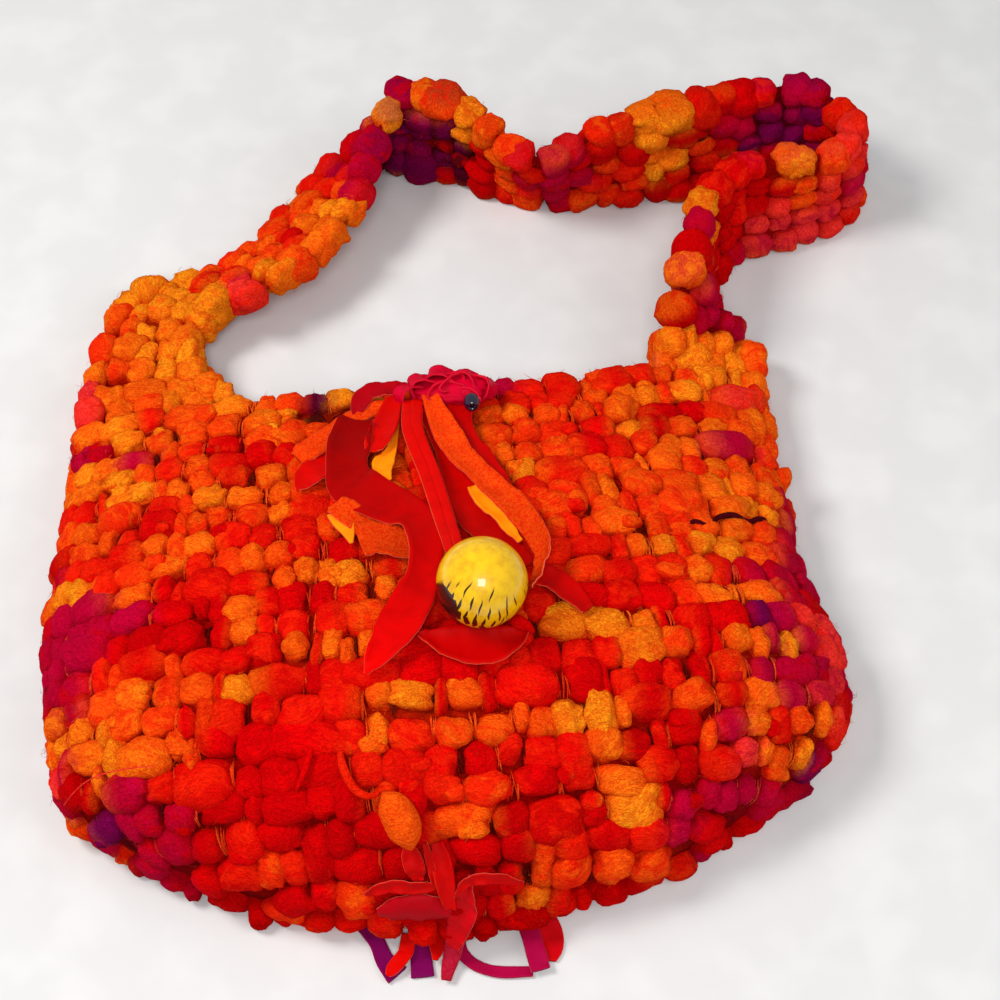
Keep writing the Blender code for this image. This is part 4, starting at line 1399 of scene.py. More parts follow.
@dataclass
class StrapYarn:
    """The strap's rows of puffs, with a large one at each edge."""

    form: StrapForm
    chart: DyeChart
    edge_width: float = 12.2
    face_width: float = 9.6
    # Puffs are wider where the band is wider than this
    broad: float = 50.0
    broad_width: float = 12.5
    # Where it is thicker than this, it has two layers, at this share of its thickness from its middle
    double: float = 15.5
    layer: float = 0.22
    stagger: float = 1.6
    big_share: float = 0.12
    big_scale: float = 1.28
    seed: int = 23

    def place(self) -> tuple[Puffs, Gaps]:
        """Lay the puffs out, row by row.

        Returns:
            The puffs, and the pinches between them on both faces.
        """
        rng = np.random.default_rng(self.seed)
        rows = round(self.form.length() / self.form.pitch)
        lows, highs, thick, along = self.form.stations((np.arange(rows) + 0.5) / rows)
        kept: list[tuple[Any, ...]] = []
        pinches: list[tuple[Any, ...]] = []
        for row, (low, high, depth, ahead) in enumerate(zip(lows, highs, thick, along)):
            width = float(np.linalg.norm(high - low))
            across = unit(high - low)
            forward = square(ahead, across)
            outward = np.cross(across, forward)
            broad = width > self.broad
            wide = self.broad_width if broad else self.face_width
            inner = max(round((width - 1.5 * self.edge_width) / wide), 1)
            widths = np.array([self.edge_width] + [wide] * inner + [self.edge_width])
            widths = widths * rng.lognormal(0, 0.16, len(widths))
            bounds = np.concatenate([[0.0], np.cumsum(widths)]) / widths.sum() * (width + 0.5) - 0.5
            layers = (-self.layer, self.layer) if depth > self.double else (0.0,)
            stagger = self.stagger * (-1) ** row
            for place, (start, end) in enumerate(zip(bounds, bounds[1:])):
                at_edge = (place == len(widths) - 1) - (place == 0)
                big = self.big_scale if rng.uniform() < self.big_share else 1.0
                for layer in layers:
                    middle = low + across * (start + end) / 2 + outward * (depth * layer + rng.normal(0, 0.5))
                    middle = middle + forward * (rng.normal(0, 1.5) + stagger * (place % 2 - 0.5))
                    deep = depth * (0.5 if layer == 0.0 else 0.30) + (0.9 if at_edge else 0.2)
                    half = np.array([
                        (end - start) * 0.5 * rng.uniform(1.04, 1.18),
                        self.form.pitch * 0.5 * rng.uniform(1.05, 1.3) * (1.14 if at_edge or broad else 1.06),
                        deep * rng.uniform(0.92, 1.10),
                    ]) * big
                    middle[2] = max(middle[2], half.min() * 0.8)
                    kept.append((middle, across, forward, outward, half, float(at_edge)))
                if place:
                    for face in (-1.0, 1.0):
                        spot = low + across * start + outward * face * depth * 0.5
                        pinches.append((spot, across, forward * face, outward * face, 0.0, self.form.pitch))
        dyes = self.chart.on_strap(*columns(kept, 1), rng)
        spots = columns(pinches, 6)
        around = self.chart.around(spots[0], self.chart.strap, self.chart.strap_dyes)
        return Puffs.gather(kept, *self.chart.shades(dyes, rng)), Gaps(*spots, around)


def strands(bundle: Bundle, paths: Array, radii: Array, guides: Array, sides: int, dyes: Array, crest: float) -> None:
    """Add many closed round strands with the same number of places.

    Args:
        bundle: what they are added to.
        paths: the places by strand.
        radii: the radius at each place.
        guides: a direction across each strand.
        sides: how many sides they have.
        dyes: the linear colour of each.
        crest: how much they stand out, which keeps the felt's painted shade of the sides off them.
    """
    ahead = unit(np.gradient(paths, axis=1))
    first = unit(np.cross(ahead, guides[:, None]))
    second = np.cross(ahead, first)
    turns = circle(sides)[:, None]
    ring = first[:, :, None] * np.cos(turns) + second[:, :, None] * np.sin(turns)
    points = (paths[:, :, None] + ring * radii[:, :, None, None]).reshape(len(paths), -1, 3)
    points = np.concatenate([points, paths[:, :1], paths[:, -1:]], axis=1)
    dyes = np.clip(dyes, 0, 1)[:, None]
    bundle.add(points, *skin(paths.shape[1], sides), dye=dyes, streak=dyes, lay=points, crest=np.float64(crest))


@dataclass
class YarnTies:
    """Thin strands that wrap the pinches between puffs, lying across the rows; the dark ones are painted shade of the
    deep slots that they lie in.
    """

    shut_share: float = 0.22
    shaded_strand_share: float = 0.35
    open_width: float = 0.8
    radius: float = 0.30
    # The width above which a pinch has more strands, their number below it and above it, and how deep pale and
    # dark ones lie
    wide: float = 2.2
    number: tuple[int, int] = (4, 6)
    depths: tuple[float, float] = (1.5, 2.4)
    # The pale strands' colour, and the dark strands' colour, which is painted shade of the deep slots
    pale: Row = (1.0, 0.42, 0.14)
    dark: Row = (0.26, 0.07, 0.05)
    seed: int = 37

    def lay(self, bundle: Bundle, gaps: Gaps) -> None:
        """Add the strands in the pinches.

        Args:
            bundle: what they are added to.
            gaps: the pinches.
        """
        rng = np.random.default_rng(self.seed)
        shut = (gaps.wide < self.open_width) & (rng.uniform(0, 1, len(gaps.wide)) > self.shut_share)
        chosen = np.flatnonzero(~shut)
        is_shaded = rng.uniform(0, 1, len(chosen)) < self.shaded_strand_share
        number = np.where(gaps.wide[chosen] > self.wide, self.number[1], self.number[0])
        at, dark = np.repeat(chosen, number), np.repeat(is_shaded, number)
        count = len(at)
        spots = np.linspace(-1, 1, 6)[None, :, None]

        def draw(low: float, high: float) -> Array:
            """A number for each strand, shaped to spread over its path."""
            return rng.uniform(low, high, (count, 1, 1))

        along, towards, outward = (values[at][:, None] for values in (gaps.along, gaps.towards, gaps.outward))
        wide = np.maximum(gaps.wide[at], 1.6)[:, None, None]
        paths = gaps.middle[at][:, None] + along * (wide * draw(-0.5, 0.5) + spots * draw(-1.0, 1.0))
        paths = paths + towards * spots * gaps.tall[at][:, None, None] * draw(0.34, 0.52)
        recess = np.where(dark, self.depths[1], self.depths[0])[:, None, None] * draw(0.7, 1.3)
        paths = paths - outward * (recess + 2.0 * spots ** 2)
        radii = (self.radius * draw(0.6, 1.1) * (1 - 0.7 * np.abs(spots) ** 3))[:, :, 0]
        blend = draw(0.25, 0.65)[:, 0]
        # Painted shade: the dark strands take mostly the dark colour
        tone = np.where(dark[:, None], linear(self.dark), linear(self.pale))
        blend = np.where(dark[:, None], 0.9, blend)
        strands(bundle, paths, radii, gaps.outward[at], 5, tone * blend + gaps.dye[at] * (1 - blend), 0.6)


@dataclass
class Fibres:
    """Fine hairs that stand and lie on the puffs."""

    each: int
    seed: int
    radius: float = 0.10
    lowest_root: float = 1.5
    lengths: tuple[float, float] = (1.8, 4.6)
    pale: Row = (1.0, 0.40, 0.16)

    def lay(self, bundle: Bundle, puffs: Puffs, both_faces: bool) -> None:
        """Add the hairs.

        Args:
            bundle: what they are added to.
            puffs: the puffs that they grow from.
            both_faces: whether they grow inward of the puffs too.
        """
        rng = np.random.default_rng(self.seed)
        at = np.repeat(np.arange(len(puffs.middle)), self.each)
        axes = np.stack([puffs.along, puffs.towards, puffs.outward], axis=1)[at]
        ways = rng.normal(0, 1, (len(at), 3))
        if not both_faces:
            ways[:, 2] = np.abs(ways[:, 2]) * 0.9 + 0.05
        ways = unit(ways)
        roots = puffs.middle[at] + np.einsum("nk,nkx->nx", ways * puffs.half[at] * 0.98, axes)
        away = unit(np.einsum("nk,nkx->nx", ways / puffs.half[at], axes))
        drift = unit(np.cross(away, rng.normal(0, 1, (len(at), 3))))
        swerve = np.cross(away, drift) * rng.uniform(-0.7, 0.7, (len(at), 1))
        length = rng.uniform(*self.lengths, (len(at), 1))
        middle = roots + length * (drift * 0.5 + away * rng.uniform(0.10, 0.34, (len(at), 1)))
        end = roots + length * (drift * 0.8 + swerve + away * rng.uniform(-0.15, 0.5, (len(at), 1)))
        clear = roots[:, 2] > self.lowest_root
        paths = np.stack([roots, middle, end], axis=1)[clear]
        radii = np.repeat([[1.0, 0.8, 0.25]], len(paths), axis=0) * self.radius
        dyes = (puffs.dye[at] * 0.60 + puffs.streak[at] * 0.25 + linear(self.pale) * 0.15)[clear]
        strands(bundle, paths, radii, away[clear], 3, dyes, 1.0)


@dataclass
class LooseLock:
    """A lock of yarn that stands free of its row: its path over the front, its thickness and its dye."""

    rows: tuple[Row, ...]
    dye: Dye
    steps: int = 5
    sides: int = 10
    crest: float = 0.8

    def lay(self, bundle: Bundle, form: PouchForm) -> None:
        """Add the lock.

        Args:
            bundle: what it is added to.
            form: the front that it lies on.
        """
        x, y, lift, radius = smooth_rows(self.rows, self.steps).T
        path = np.stack([x, y, form.height(x, y)], axis=1) + form.normal(x, y) * lift[:, None]
        guide, dye = np.array([[0.0, 0.0, 1.0]]), self.dye.light[None]
        strands(bundle, path[None], radius[None], guide, self.sides, dye, self.crest)


class Hide(Enum):
    """The leather's colours: its upper side and its under side, and whether the upper one is napped."""

    RED = ((0.76, 0.01, 0.00), (0.84, 0.22, 0.03), 0.0)
    CRIMSON = ((0.62, 0.00, 0.05), (0.66, 0.08, 0.14), 0.0)
    DEEP = ((0.68, 0.00, 0.00), (0.80, 0.18, 0.03), 0.0)
    SUEDE = ((0.85, 0.26, 0.03), (0.76, 0.04, 0.01), 1.0)
    YELLOW = ((0.97, 0.52, 0.03), (0.80, 0.10, 0.02), 0.0)
    PURPLE = ((0.42, 0.01, 0.28), (0.52, 0.06, 0.30), 0.0)
    MAGENTA = ((0.60, 0.01, 0.22), (0.46, 0.02, 0.28), 0.0)
    ROSE = ((0.72, 0.01, 0.05), (0.64, 0.10, 0.20), 0.0)
    KNOT = ((0.74, 0.00, 0.15), (0.78, 0.04, 0.18), 0.0)


@dataclass
class LeatherStrip:
    """A strip of leather along a path, which may cup, wave and turn over."""

    hide: Hide
    # x, y, height over the front (or z where level), width and, where it turns, its turn in degrees
    rows: tuple[Row, ...] = ()
    cup: float = 1.2
    wave: float = 0.6
    thickness: float = 1.1
    points_across: int = 9
    steps: int = 6
    level: bool = False
    # How bright its first and its last end are, and how pale its cut edges are
    shade: tuple[float, float] = (1.0, 1.0)
    cut: float = 1.0
    end_cut: float = 0.62
    # Its waves in radians to a step: two at its edges, and one that lifts its whole width
    waves: Row = (0.83, 1.9, 0.47)

    def lay(self, bundle: Bundle, form: PouchForm) -> None:
        """Add the strip to a bundle.

        Args:
            bundle: what it is added to.
            form: the front that it lies over.
        """
        fine = smooth_rows([tuple(row) + (0.0,) * (5 - len(row)) for row in self.rows], self.steps)
        x, y = fine[:, 0], fine[:, 1]
        if self.level:
            places = fine[:, 0:3]
            ahead = unit(np.gradient(places, axis=0))
            side = unit(np.cross(ahead, np.array([0.0, 0.0, 1.0])))
            normal = unit(np.cross(side, ahead))
        else:
            normal = form.normal(x, y)
            places = np.stack([x, y, form.height(x, y)], axis=1) + normal * fine[:, 2:3]
        self.sweep(bundle, places, normal, np.maximum(fine[:, 3], 0.6), fine[:, 4])

    def sweep(self, bundle: Bundle, places: Array, normal: Array, widths: Array, turns: Array) -> None:
        """Sweep the strip's section along its path.

        Args:
            bundle: what it is added to.
            places: the middle line.
            normal: the directions that the strip faces.
            widths: its width at each place.
            turns: how far it is turned about its line, in degrees.
        """
        count, wide = len(places), self.points_across
        ahead = unit(np.gradient(places, axis=0))
        across = unit(np.cross(normal, ahead))
        up = np.cross(ahead, across)
        angle = np.radians(turns)[:, None]
        across, up = across * np.cos(angle) + up * np.sin(angle), up * np.cos(angle) - across * np.sin(angle)
        share = np.linspace(-1, 1, wide)
        steps = np.arange(count)[:, None]
        first, second, whole = self.waves
        ripple = (np.sin(steps * first) + 0.6 * np.sin(steps * second + 2)) * self.wave * share * 0.5
        rise = self.cup * (share ** 2 - 0.4) * np.minimum(widths / 8.0, 1.0)[:, None] + ripple
        rise = (rise + np.sin(steps * whole + 1.0) * self.wave * 0.4)[..., None]
        middle = places[:, None] + across[:, None] * (widths[:, None] / 2 * share)[..., None]
        upper, under = (middle + up[:, None] * (rise + lift) for lift in (self.thickness / 2, -self.thickness / 2))
        bulge = across * self.thickness * 0.28
        right, left = (upper[:, -1] + under[:, -1]) / 2 + bulge, (upper[:, 0] + under[:, 0]) / 2 - bulge
        ring = np.concatenate([upper, right[:, None], under[:, ::-1], left[:, None]], axis=1)
        sides = ring.shape[1]
        index = numbers(count, sides)
        quads = [walls(index)]
        tris = []
        for line, turn in ((index[0], 1), (index[-1], -1)):
            top, bottom = line[:wide], line[wide + 1:2 * wide + 1][::-1]
            quads.append(np.stack([top[:-1], top[1:], bottom[1:], bottom[:-1]], axis=1)[:, ::turn])
            tris += [(top[-1], line[wide], bottom[-1])[::turn], (bottom[0], line[-1], top[0])[::turn]]
        colours = np.repeat([linear(self.hide.value[0]), linear(self.hide.value[1])], wide + 1, axis=0)
        nap = np.repeat([self.hide.value[2], 1 - self.hide.value[2]], wide + 1)
        rim = np.zeros((count, sides))
        rim[:, [wide, sides - 1]] = self.cut
        rim[[0, -1]] = np.maximum(rim[[0, -1]], self.end_cut)
        bright = np.linspace(*self.shade, count)[:, None, None] ** 2.0
        bundle.add(ring.reshape(-1, 3), np.concatenate(quads), np.array(tris), hide=(colours * bright).reshape(-1, 3),
                   nap=np.tile(nap, count), rim=rim.ravel())


# The strips that lie over the front, by the node that they stand for: x, y, height over it, width and turn
FRONT_STRIPS: dict[str, tuple[LeatherStrip, ...]] = {
    "strip_under_leaf": (LeatherStrip(Hide.RED, (
        (-27, 66, 3.2, 8), (-35, 58.5, 3.2, 12.5), (-39, 52, 3.2, 12), (-44, 46.5, 3.2, 10), (-47.5, 41.5, 3, 1.5))),),
    "strip_leaf": (LeatherStrip(Hide.SUEDE, (
        (-11, 84.5, 5.4, 4.5), (-18, 82, 5.6, 8), (-25.5, 77, 5.4, 9), (-33.5, 70, 5, 10), (-41, 63.5, 4.6, 11.5),
        (-45.5, 60, 4.2, 9.8), (-47.6, 58.6, 4, 6.5)), cup=-0.8),),
    "strip_sliver": (LeatherStrip(Hide.YELLOW, (
        (-9.5, 73, 4, 1), (-12.7, 58, 3.8, 3.5), (-15.8, 51, 3.6, 7.5), (-16.5, 46, 3.5, 6.5),
        (-14.5, 41, 3.3, 1.5))),),
    "strip_short_left": (LeatherStrip(Hide.RED, (
        (-9, 85, 6.4, 5), (-11, 81, 6.3, 7), (-14, 69.5, 6.2, 9.5), (-17.5, 60, 6.2, 9), (-20, 55, 6.2, 5)),
        cup=1.6),),
    "strip_wide_left": (LeatherStrip(Hide.DEEP, (
        (-24.2, 71, 8.2, 12.5, 0), (-25.5, 68, 8, 13.5, -6), (-28, 58.5, 7, 15.5, -12), (-29.3, 47.5, 5.8, 14.5, -4),
        (-27, 37, 5.6, 17.5, 14), (-16.5, 26, 6.2, 15.5, 16), (-6.5, 17.5, 6.8, 12.5, 4), (-3.8, 5, 6.6, 12.5, -10),
        (-6, -8, 5.8, 10.5, -6), (-10.5, -19.5, 5.4, 15, 6), (-17, -29.5, 5, 14, 8), (-24, -38.5, 4.4, 7, 0),
        (-27.5, -43, 4, 0.8, 0)), cup=1.8, wave=0.9, shade=(0.68, 1.24)),),
    "flap_rim": (LeatherStrip(Hide.CRIMSON, (
        (-5, 89.5, 7.2, 6), (-10, 90, 7.4, 7.5), (-16, 90, 7.2, 8.5), (-21, 88, 6.8, 8), (-23.5, 82, 6, 6),
        (-24.5, 77, 5.4, 3))),),
    "strip_wide_middle": (LeatherStrip(Hide.RED, (
        (0, 82, 3.4, 4), (4, 66, 3.4, 5.5), (6.5, 54, 3.4, 6.5), (9.5, 38, 3.4, 9.5), (14, 20.5, 3.4, 13.5),
        (20, 9.5, 3.4, 13.5), (26, 0, 3.4, 10), (30, -6, 3.3, 5)), cup=1.0, shade=(1.1, 0.72)),),
    "strip_behind": (LeatherStrip(Hide.DEEP, (
        (14.4, 79, 5.3, 9), (13.5, 68, 5.3, 8.5), (15.6, 57, 5.2, 7.5), (20.6, 47.5, 5, 6), (25, 38, 4.6, 4),
        (28, 33, 4.2, 1))),),
    "strip_yellow": (LeatherStrip(Hide.YELLOW, (
        (14.6, 31, 5.8, 3.5), (17.5, 24, 5.8, 6), (22, 16.5, 5.8, 5), (25.5, 9, 5.6, 4), (28.5, 3.5, 5.4, 1.5))),),
    "strip_suede": (LeatherStrip(Hide.SUEDE, (
        (3.2, 82, 9, 5.5, 0), (5.4, 70, 8.8, 8, 4), (8.4, 56.5, 8.4, 10.5, 0), (12.8, 43.5, 8.4, 10, -4),
        (20.5, 29.5, 8.6, 9.5, 0), (26.5, 19.5, 8.8, 10.5, 0), (30.5, 11, 9.2, 9, 14), (34, 3, 9, 8, 34),
        (35.4, -5, 8.2, 7.5, 52), (33, -12, 7.2, 6.5, 58), (29.5, -18, 6.2, 3, 60)), steps=8, shade=(1.05, 0.86)),),
    "strip_folded": (
        LeatherStrip(Hide.SUEDE, (
            (-3, 7, 3, 8), (-9.9, 8, 3.2, 12.8), (-16, 10.8, 3.4, 14.2), (-21.5, 11.9, 3.8, 15.2),
            (-26.6, 11.1, 4.2, 15.6)), shade=(0.80, 0.94)),
        LeatherStrip(Hide.SUEDE, (
            (-19, 13.5, 1.8, 7), (-24, 19, 3.2, 9.5), (-29, 24, 4.8, 9.8), (-33.2, 28.2, 5.6, 9.2),
            (-34.2, 29.2, 5.4, 6)), cup=0.3, shade=(0.90, 1.0)),
        LeatherStrip(Hide.YELLOW, (
            (-33.6, 26, 4.4, 7.5), (-31.8, 21.5, 4, 7.4), (-30.3, 16.5, 3.6, 4.4), (-29.4, 11.4, 3.2, 0.8)), cup=0.3,
            wave=0.1)),
    "flap_under_ball": (LeatherStrip(Hide.DEEP, (
        (-9.5, -31, 4.8, 1), (-5, -32.5, 4, 6), (1, -34.5, 3.4, 11.5), (8, -36, 3.2, 14.5), (15, -36.5, 3.2, 13.5),
        (21.5, -34.8, 3.2, 9), (26.5, -32, 3, 2)), cup=1.6),),
    "strip_end_right": (LeatherStrip(Hide.DEEP, (
        (32, -9.3, 3, 8.9), (39, -13, 2.8, 8.9), (45, -20.5, 2.6, 7.1), (48, -25, 2.2, 4))),),
    "hem_flap_left": (
        LeatherStrip(Hide.DEEP, (
            (-33.5, -102.3, 1.6, 1), (-29.5, -101.7, 2.4, 3.4), (-24, -101.2, 3, 4.2), (-17.5, -102.2, 3, 4.2),
            (-10.5, -102.8, 2.4, 2))),
        LeatherStrip(Hide.CRIMSON, (
            (-30, -106.2, 2.2, 3), (-25, -106.2, 3, 8), (-18, -106.2, 3.4, 10), (-12, -107, 3.2, 9),
            (-7, -108.4, 2.8, 4)), cup=-1.4),
        LeatherStrip(Hide.DEEP, (
            (-18.6, -93.2, 0.8, 2), (-18, -95.2, 1.6, 5.4), (-17.2, -97.4, 2.2, 6.2), (-16.4, -99.4, 2.4, 5),
            (-16, -101, 2.2, 2.5)))),
    "hem_flap_middle": (
        LeatherStrip(Hide.DEEP, (
            (-9, -93.6, 0.2, 3, 6), (-8.4, -96.6, 1.6, 5.6, 4), (-7.9, -100, 2.6, 6.2, -6), (-7.4, -103.8, 3, 5.2, -8),
            (-6.4, -107.6, 2.8, 3, 0)), cup=1.6, cut=0.7, shade=(1.0, 1.12)),
        LeatherStrip(Hide.DEEP, (
            (-13, -93.2, 1.2, 1), (-12.2, -96.4, 2.2, 2), (-11.4, -99.8, 2.8, 2), (-10.6, -103, 2.4, 1.2)))),
    "hem_flap_right": (
        LeatherStrip(Hide.DEEP, (
            (-4.2, -105.2, 2.8, 1.5), (-1.8, -102.6, 3.8, 2.6), (2.4, -101.4, 4.2, 3.6), (9, -101.8, 3.8, 3.6),
            (14, -103, 2.8, 2.4), (17.5, -104, 1.6, 1))),),
}

# The strips that come out at the bottom edge, by their node: x, y, z, width and turn
HEM_STRIPS: dict[str, tuple[LeatherStrip, ...]] = {
    "hem_strip_1": (LeatherStrip(Hide.PURPLE, (
        (-35.3, -103.7, 0.9, 5.8), (-31.8, -110.2, 0.9, 5), (-29.6, -116.8, 0.9, 5.7), (-25.9, -122.1, 0.9, 7.6)),
        level=True, cup=0.4, wave=0.2),),
    "hem_strip_2": (LeatherStrip(Hide.RED, (
        (-21, -109, 3, 4.4), (-22.2, -114, 3, 4.6), (-23.3, -116.2, 3, 4.4), (-27.1, -120.2, 3, 4.2),
        (-29.1, -122.5, 2.9, 1.4)), level=True, cup=0.5, wave=0.3),),
    "hem_strip_3": (LeatherStrip(Hide.PURPLE, (
        (-17.3, -105.2, 0.9, 6.2), (-17.5, -112.5, 0.9, 6.5), (-17.6, -119.7, 0.9, 6.9), (-17.6, -123.5, 0.9, 7.3)),
        level=True, cup=0.4, wave=0.2),),
    "hem_strip_4": (LeatherStrip(Hide.RED, (
        (-12.9, -106.9, 3, 4.3), (-12.1, -111.4, 3.1, 5.2), (-12.1, -115.4, 3.3, 4.2), (-13, -118.9, 3.2, 1.5)),
        level=True, cup=0.9, wave=0.3),),
    "hem_strip_5": (LeatherStrip(Hide.MAGENTA, (
        (-4.6, -108, 0.9, 4), (-4.2, -115.1, 0.9, 3.8), (-1.9, -119.3, 0.9, 3.6), (2.2, -122.4, 0.9, 3.4),
        (9, -124.6, 0.9, 3.6), (19, -125.4, 0.9, 3.2)), level=True, cup=0.3, wave=0.2),),
    "hem_strip_6": (LeatherStrip(Hide.MAGENTA, (
        (18.8, -106, 3, 6.6), (19.1, -109.4, 3, 6.7), (19.8, -114.7, 3.1, 6), (20.8, -121.3, 3, 6.2),
        (21.5, -125.9, 2.9, 6)), level=True, cup=0.7, wave=0.3),),
    "hem_strip_7": (LeatherStrip(Hide.ROSE, (
        (25.6, -106.4, 0.9, 5.3), (26.5, -112.2, 0.9, 7.5), (26.4, -117.9, 0.9, 6.9), (25.5, -122.4, 0.9, 3.1)),
        level=True, cup=0.5, wave=0.2),),
    "hem_strip_over_edge": (
        LeatherStrip(Hide.ROSE, (
            (1, -103.2, 33, 1.2), (-0.4, -105.4, 30, 3), (-1.6, -108, 25, 6.8), (-2.7, -110.6, 20.2, 9),
            (-4.4, -113.2, 15.4, 7.6), (-5.8, -115.6, 11.2, 5.6), (-6.8, -117.4, 8.4, 3.4)), level=True, cup=1.2,
            steps=8),
        LeatherStrip(Hide.ROSE, (
            (-4.6, -112.4, 14, 5, 180), (-6, -115.2, 9.8, 6, 180), (-7.2, -118, 5.8, 5.4, 180),
            (-8.2, -120.4, 3.7, 4.8, 180), (-9.1, -122.8, 3, 4, 180), (-10, -126, 2.9, 2.8, 180)), level=True, cup=0.6,
            wave=0.3)),
}

# The doubled thong that carries the ball, two strands side by side: x, y, z, width and turn
THONG = tuple(LeatherStrip(Hide.RED, rows, level=True, cup=-0.5, wave=0.1, thickness=1.5) for rows in (
    ((-4.9, 81, 49, 3.8, 6), (-6.1, 63, 55.4, 3.6, 6), (-1.6, 38, 61.2, 3.5, 0), (1.4, 16, 67.2, 3.3, 0),
     (2.9, 4, 72, 3.0, 8), (3.8, -4.8, 76.4, 2.6, 20), (6.9, -10.6, 77.8, 2.2, 30)),
    ((-1.5, 81, 49.4, 3.8, -8), (-2.5, 63, 55.3, 3.6, -8), (1.9, 38, 61.1, 3.5, -4), (4.7, 16, 67.1, 3.3, 0),
     (6.0, 4, 72.2, 3.0, -8), (6.9, -4.6, 76, 2.6, -16), (8.3, -10.8, 77.2, 2.2, -20)),
))


def leather_piece(name: str, strips: Sequence[LeatherStrip], form: PouchForm,
                  finish: bpy.types.Material) -> bpy.types.Object:
    """Build one piece from its strips.

    Args:
        name: the piece's name.
        strips: the strips in it.
        form: the front that they lie over.
        finish: their leather.

    Returns:
        The object.
    """
    bundle = leather_bundle(name)
    for strip in strips:
        strip.lay(bundle, form)
    return bundle.build(finish)


@dataclass
class Knot:
    """The knot on the rim: folded leather bunched and drawn tight."""

    middle: Row = (11.0, 88.0, 45.0)
    radii: Row = (14.0, 6.8, 4.8)
    folds: int = 9
    fold_rise: float = 0.055
    # The arc of a loop in degrees, and the places along it
    arc: tuple[float, float] = (-35, 215)
    steps: int = 22
    seed: int = 53

    # Loops of the bunch: the middle, half its spread, half its rise, its lean and its turn in degrees, its width
    loops: tuple[Row, ...] = (
        (1.0, 88.5, 46.8, 4.6, 4.6, 58, 10, 9.0), (8.5, 91.0, 46.6, 6.4, 4.4, 66, -14, 8.0),
        (16.5, 90.5, 46.0, 6.0, 4.0, 50, -30, 9.0), (23.5, 88.0, 45.0, 4.6, 3.8, 40, -52, 8.0),
        (9.0, 85.0, 48.0, 6.8, 3.2, 24, 14, 4.4), (16.5, 82.6, 47.4, 6.2, 2.6, 14, -24, 3.6),
        (-4.5, 86.0, 46.8, 4.6, 3.4, 60, 38, 7.0), (12.0, 87.8, 49.2, 5.2, 2.6, 36, 34, 4.0),
    )

    def build(self, finish: bpy.types.Material) -> bpy.types.Object:
        """Build the knot.

        Args:
            finish: its leather.

        Returns:
            The object.
        """
        rng = np.random.default_rng(self.seed)
        bundle = leather_bundle("leather_knot")
        points, quads, tris = PuffShape(rings=26, sides=48).template()
        fold = np.zeros(len(points))
        for _ in range(self.folds):
            pull = unit(rng.normal(0, 1, 3)) * rng.uniform(3, 9)
            fold += np.abs(np.sin(points @ pull + rng.uniform(0, 6))) * self.fold_rise
        body = points * (0.72 + fold)[:, None] * np.array(self.radii) + np.array(self.middle)
        bundle.add(body, quads, tris, hide=linear(Hide.KNOT.value[0]), nap=np.float64(0), rim=np.float64(0))
        turn = np.radians(np.linspace(*self.arc, self.steps))[:, None]
        for x, y, z, spread, rise, lean, spin, width in self.loops:
            tilt, way = math.radians(lean), math.radians(spin)
            side = np.array([math.cos(way), math.sin(way), 0.0])
            top = np.array([-math.sin(way) * math.cos(tilt), math.cos(way) * math.cos(tilt), math.sin(tilt)])
            wobble = 1 + 0.10 * np.sin(turn * 3 + x)
            out = (side * spread * np.cos(turn) + top * rise * np.sin(turn)) * wobble
            widths = width * (0.72 + 0.28 * np.sin(np.linspace(0.15, math.pi - 0.15, self.steps)))
            strip = LeatherStrip(Hide.KNOT, cup=0.7, wave=0.35, thickness=1.0, cut=0.76)
            strip.sweep(bundle, np.array([x, y, z]) + out, unit(out), widths, np.full(self.steps, 4.0))
        return bundle.build(finish)


@dataclass
class BallButton:
    """The round button, with the hole that its thong goes into."""

    middle: Row = (13.0, -21.0, 79.9)
    radius: float = 15.2
    bore: float = 3.2
    bore_depth: float = 8.0
    sides: int = 72
    rings: int = 44
    aim: Row = (-0.47, 0.86, -0.20)
    pole: Row = (-0.596, 0.073, -0.799)
    shown: Row = (-0.0856, -0.8147, -0.5735)

    def build(self) -> bpy.types.Object:
        """Build the ball.

        Returns:
            The object.
        """
        mouth = math.asin(self.bore / self.radius)
        angles = np.linspace(0, math.pi - mouth * 1.35, self.rings + 1)[1:]
        radii = list(self.radius * np.sin(angles))
        heights = list(-self.radius * np.cos(angles))
        edge, round_off = heights[-1], radii[-1] - self.bore
        for turn in np.linspace(0, math.pi / 2, 4)[1:]:
            radii.append(self.bore + round_off * (1 - math.sin(turn)))
            heights.append(edge + round_off * 0.35 * math.sin(turn) - round_off * (1 - math.cos(turn)))
        radii.append(self.bore)
        heights.append(heights[-1] - self.bore_depth)
        turns = circle(self.sides)
        points = np.array([[r * math.cos(t), r * math.sin(t), h] for r, h in zip(radii, heights) for t in turns])
        points = np.concatenate([points, [[0, 0, -self.radius], [0, 0, heights[-1]]]])
        turned = Vector((0, 0, 1)).rotation_difference(Vector(self.aim).normalized()).to_matrix()
        bundle = Bundle("ball_glazed")
        bundle.add(points @ np.array(turned).T + np.array(self.middle), *skin(len(radii), self.sides))
        return bundle.build(GlazeFinish("ball_glaze", self.middle, self.pole, self.shown).make())


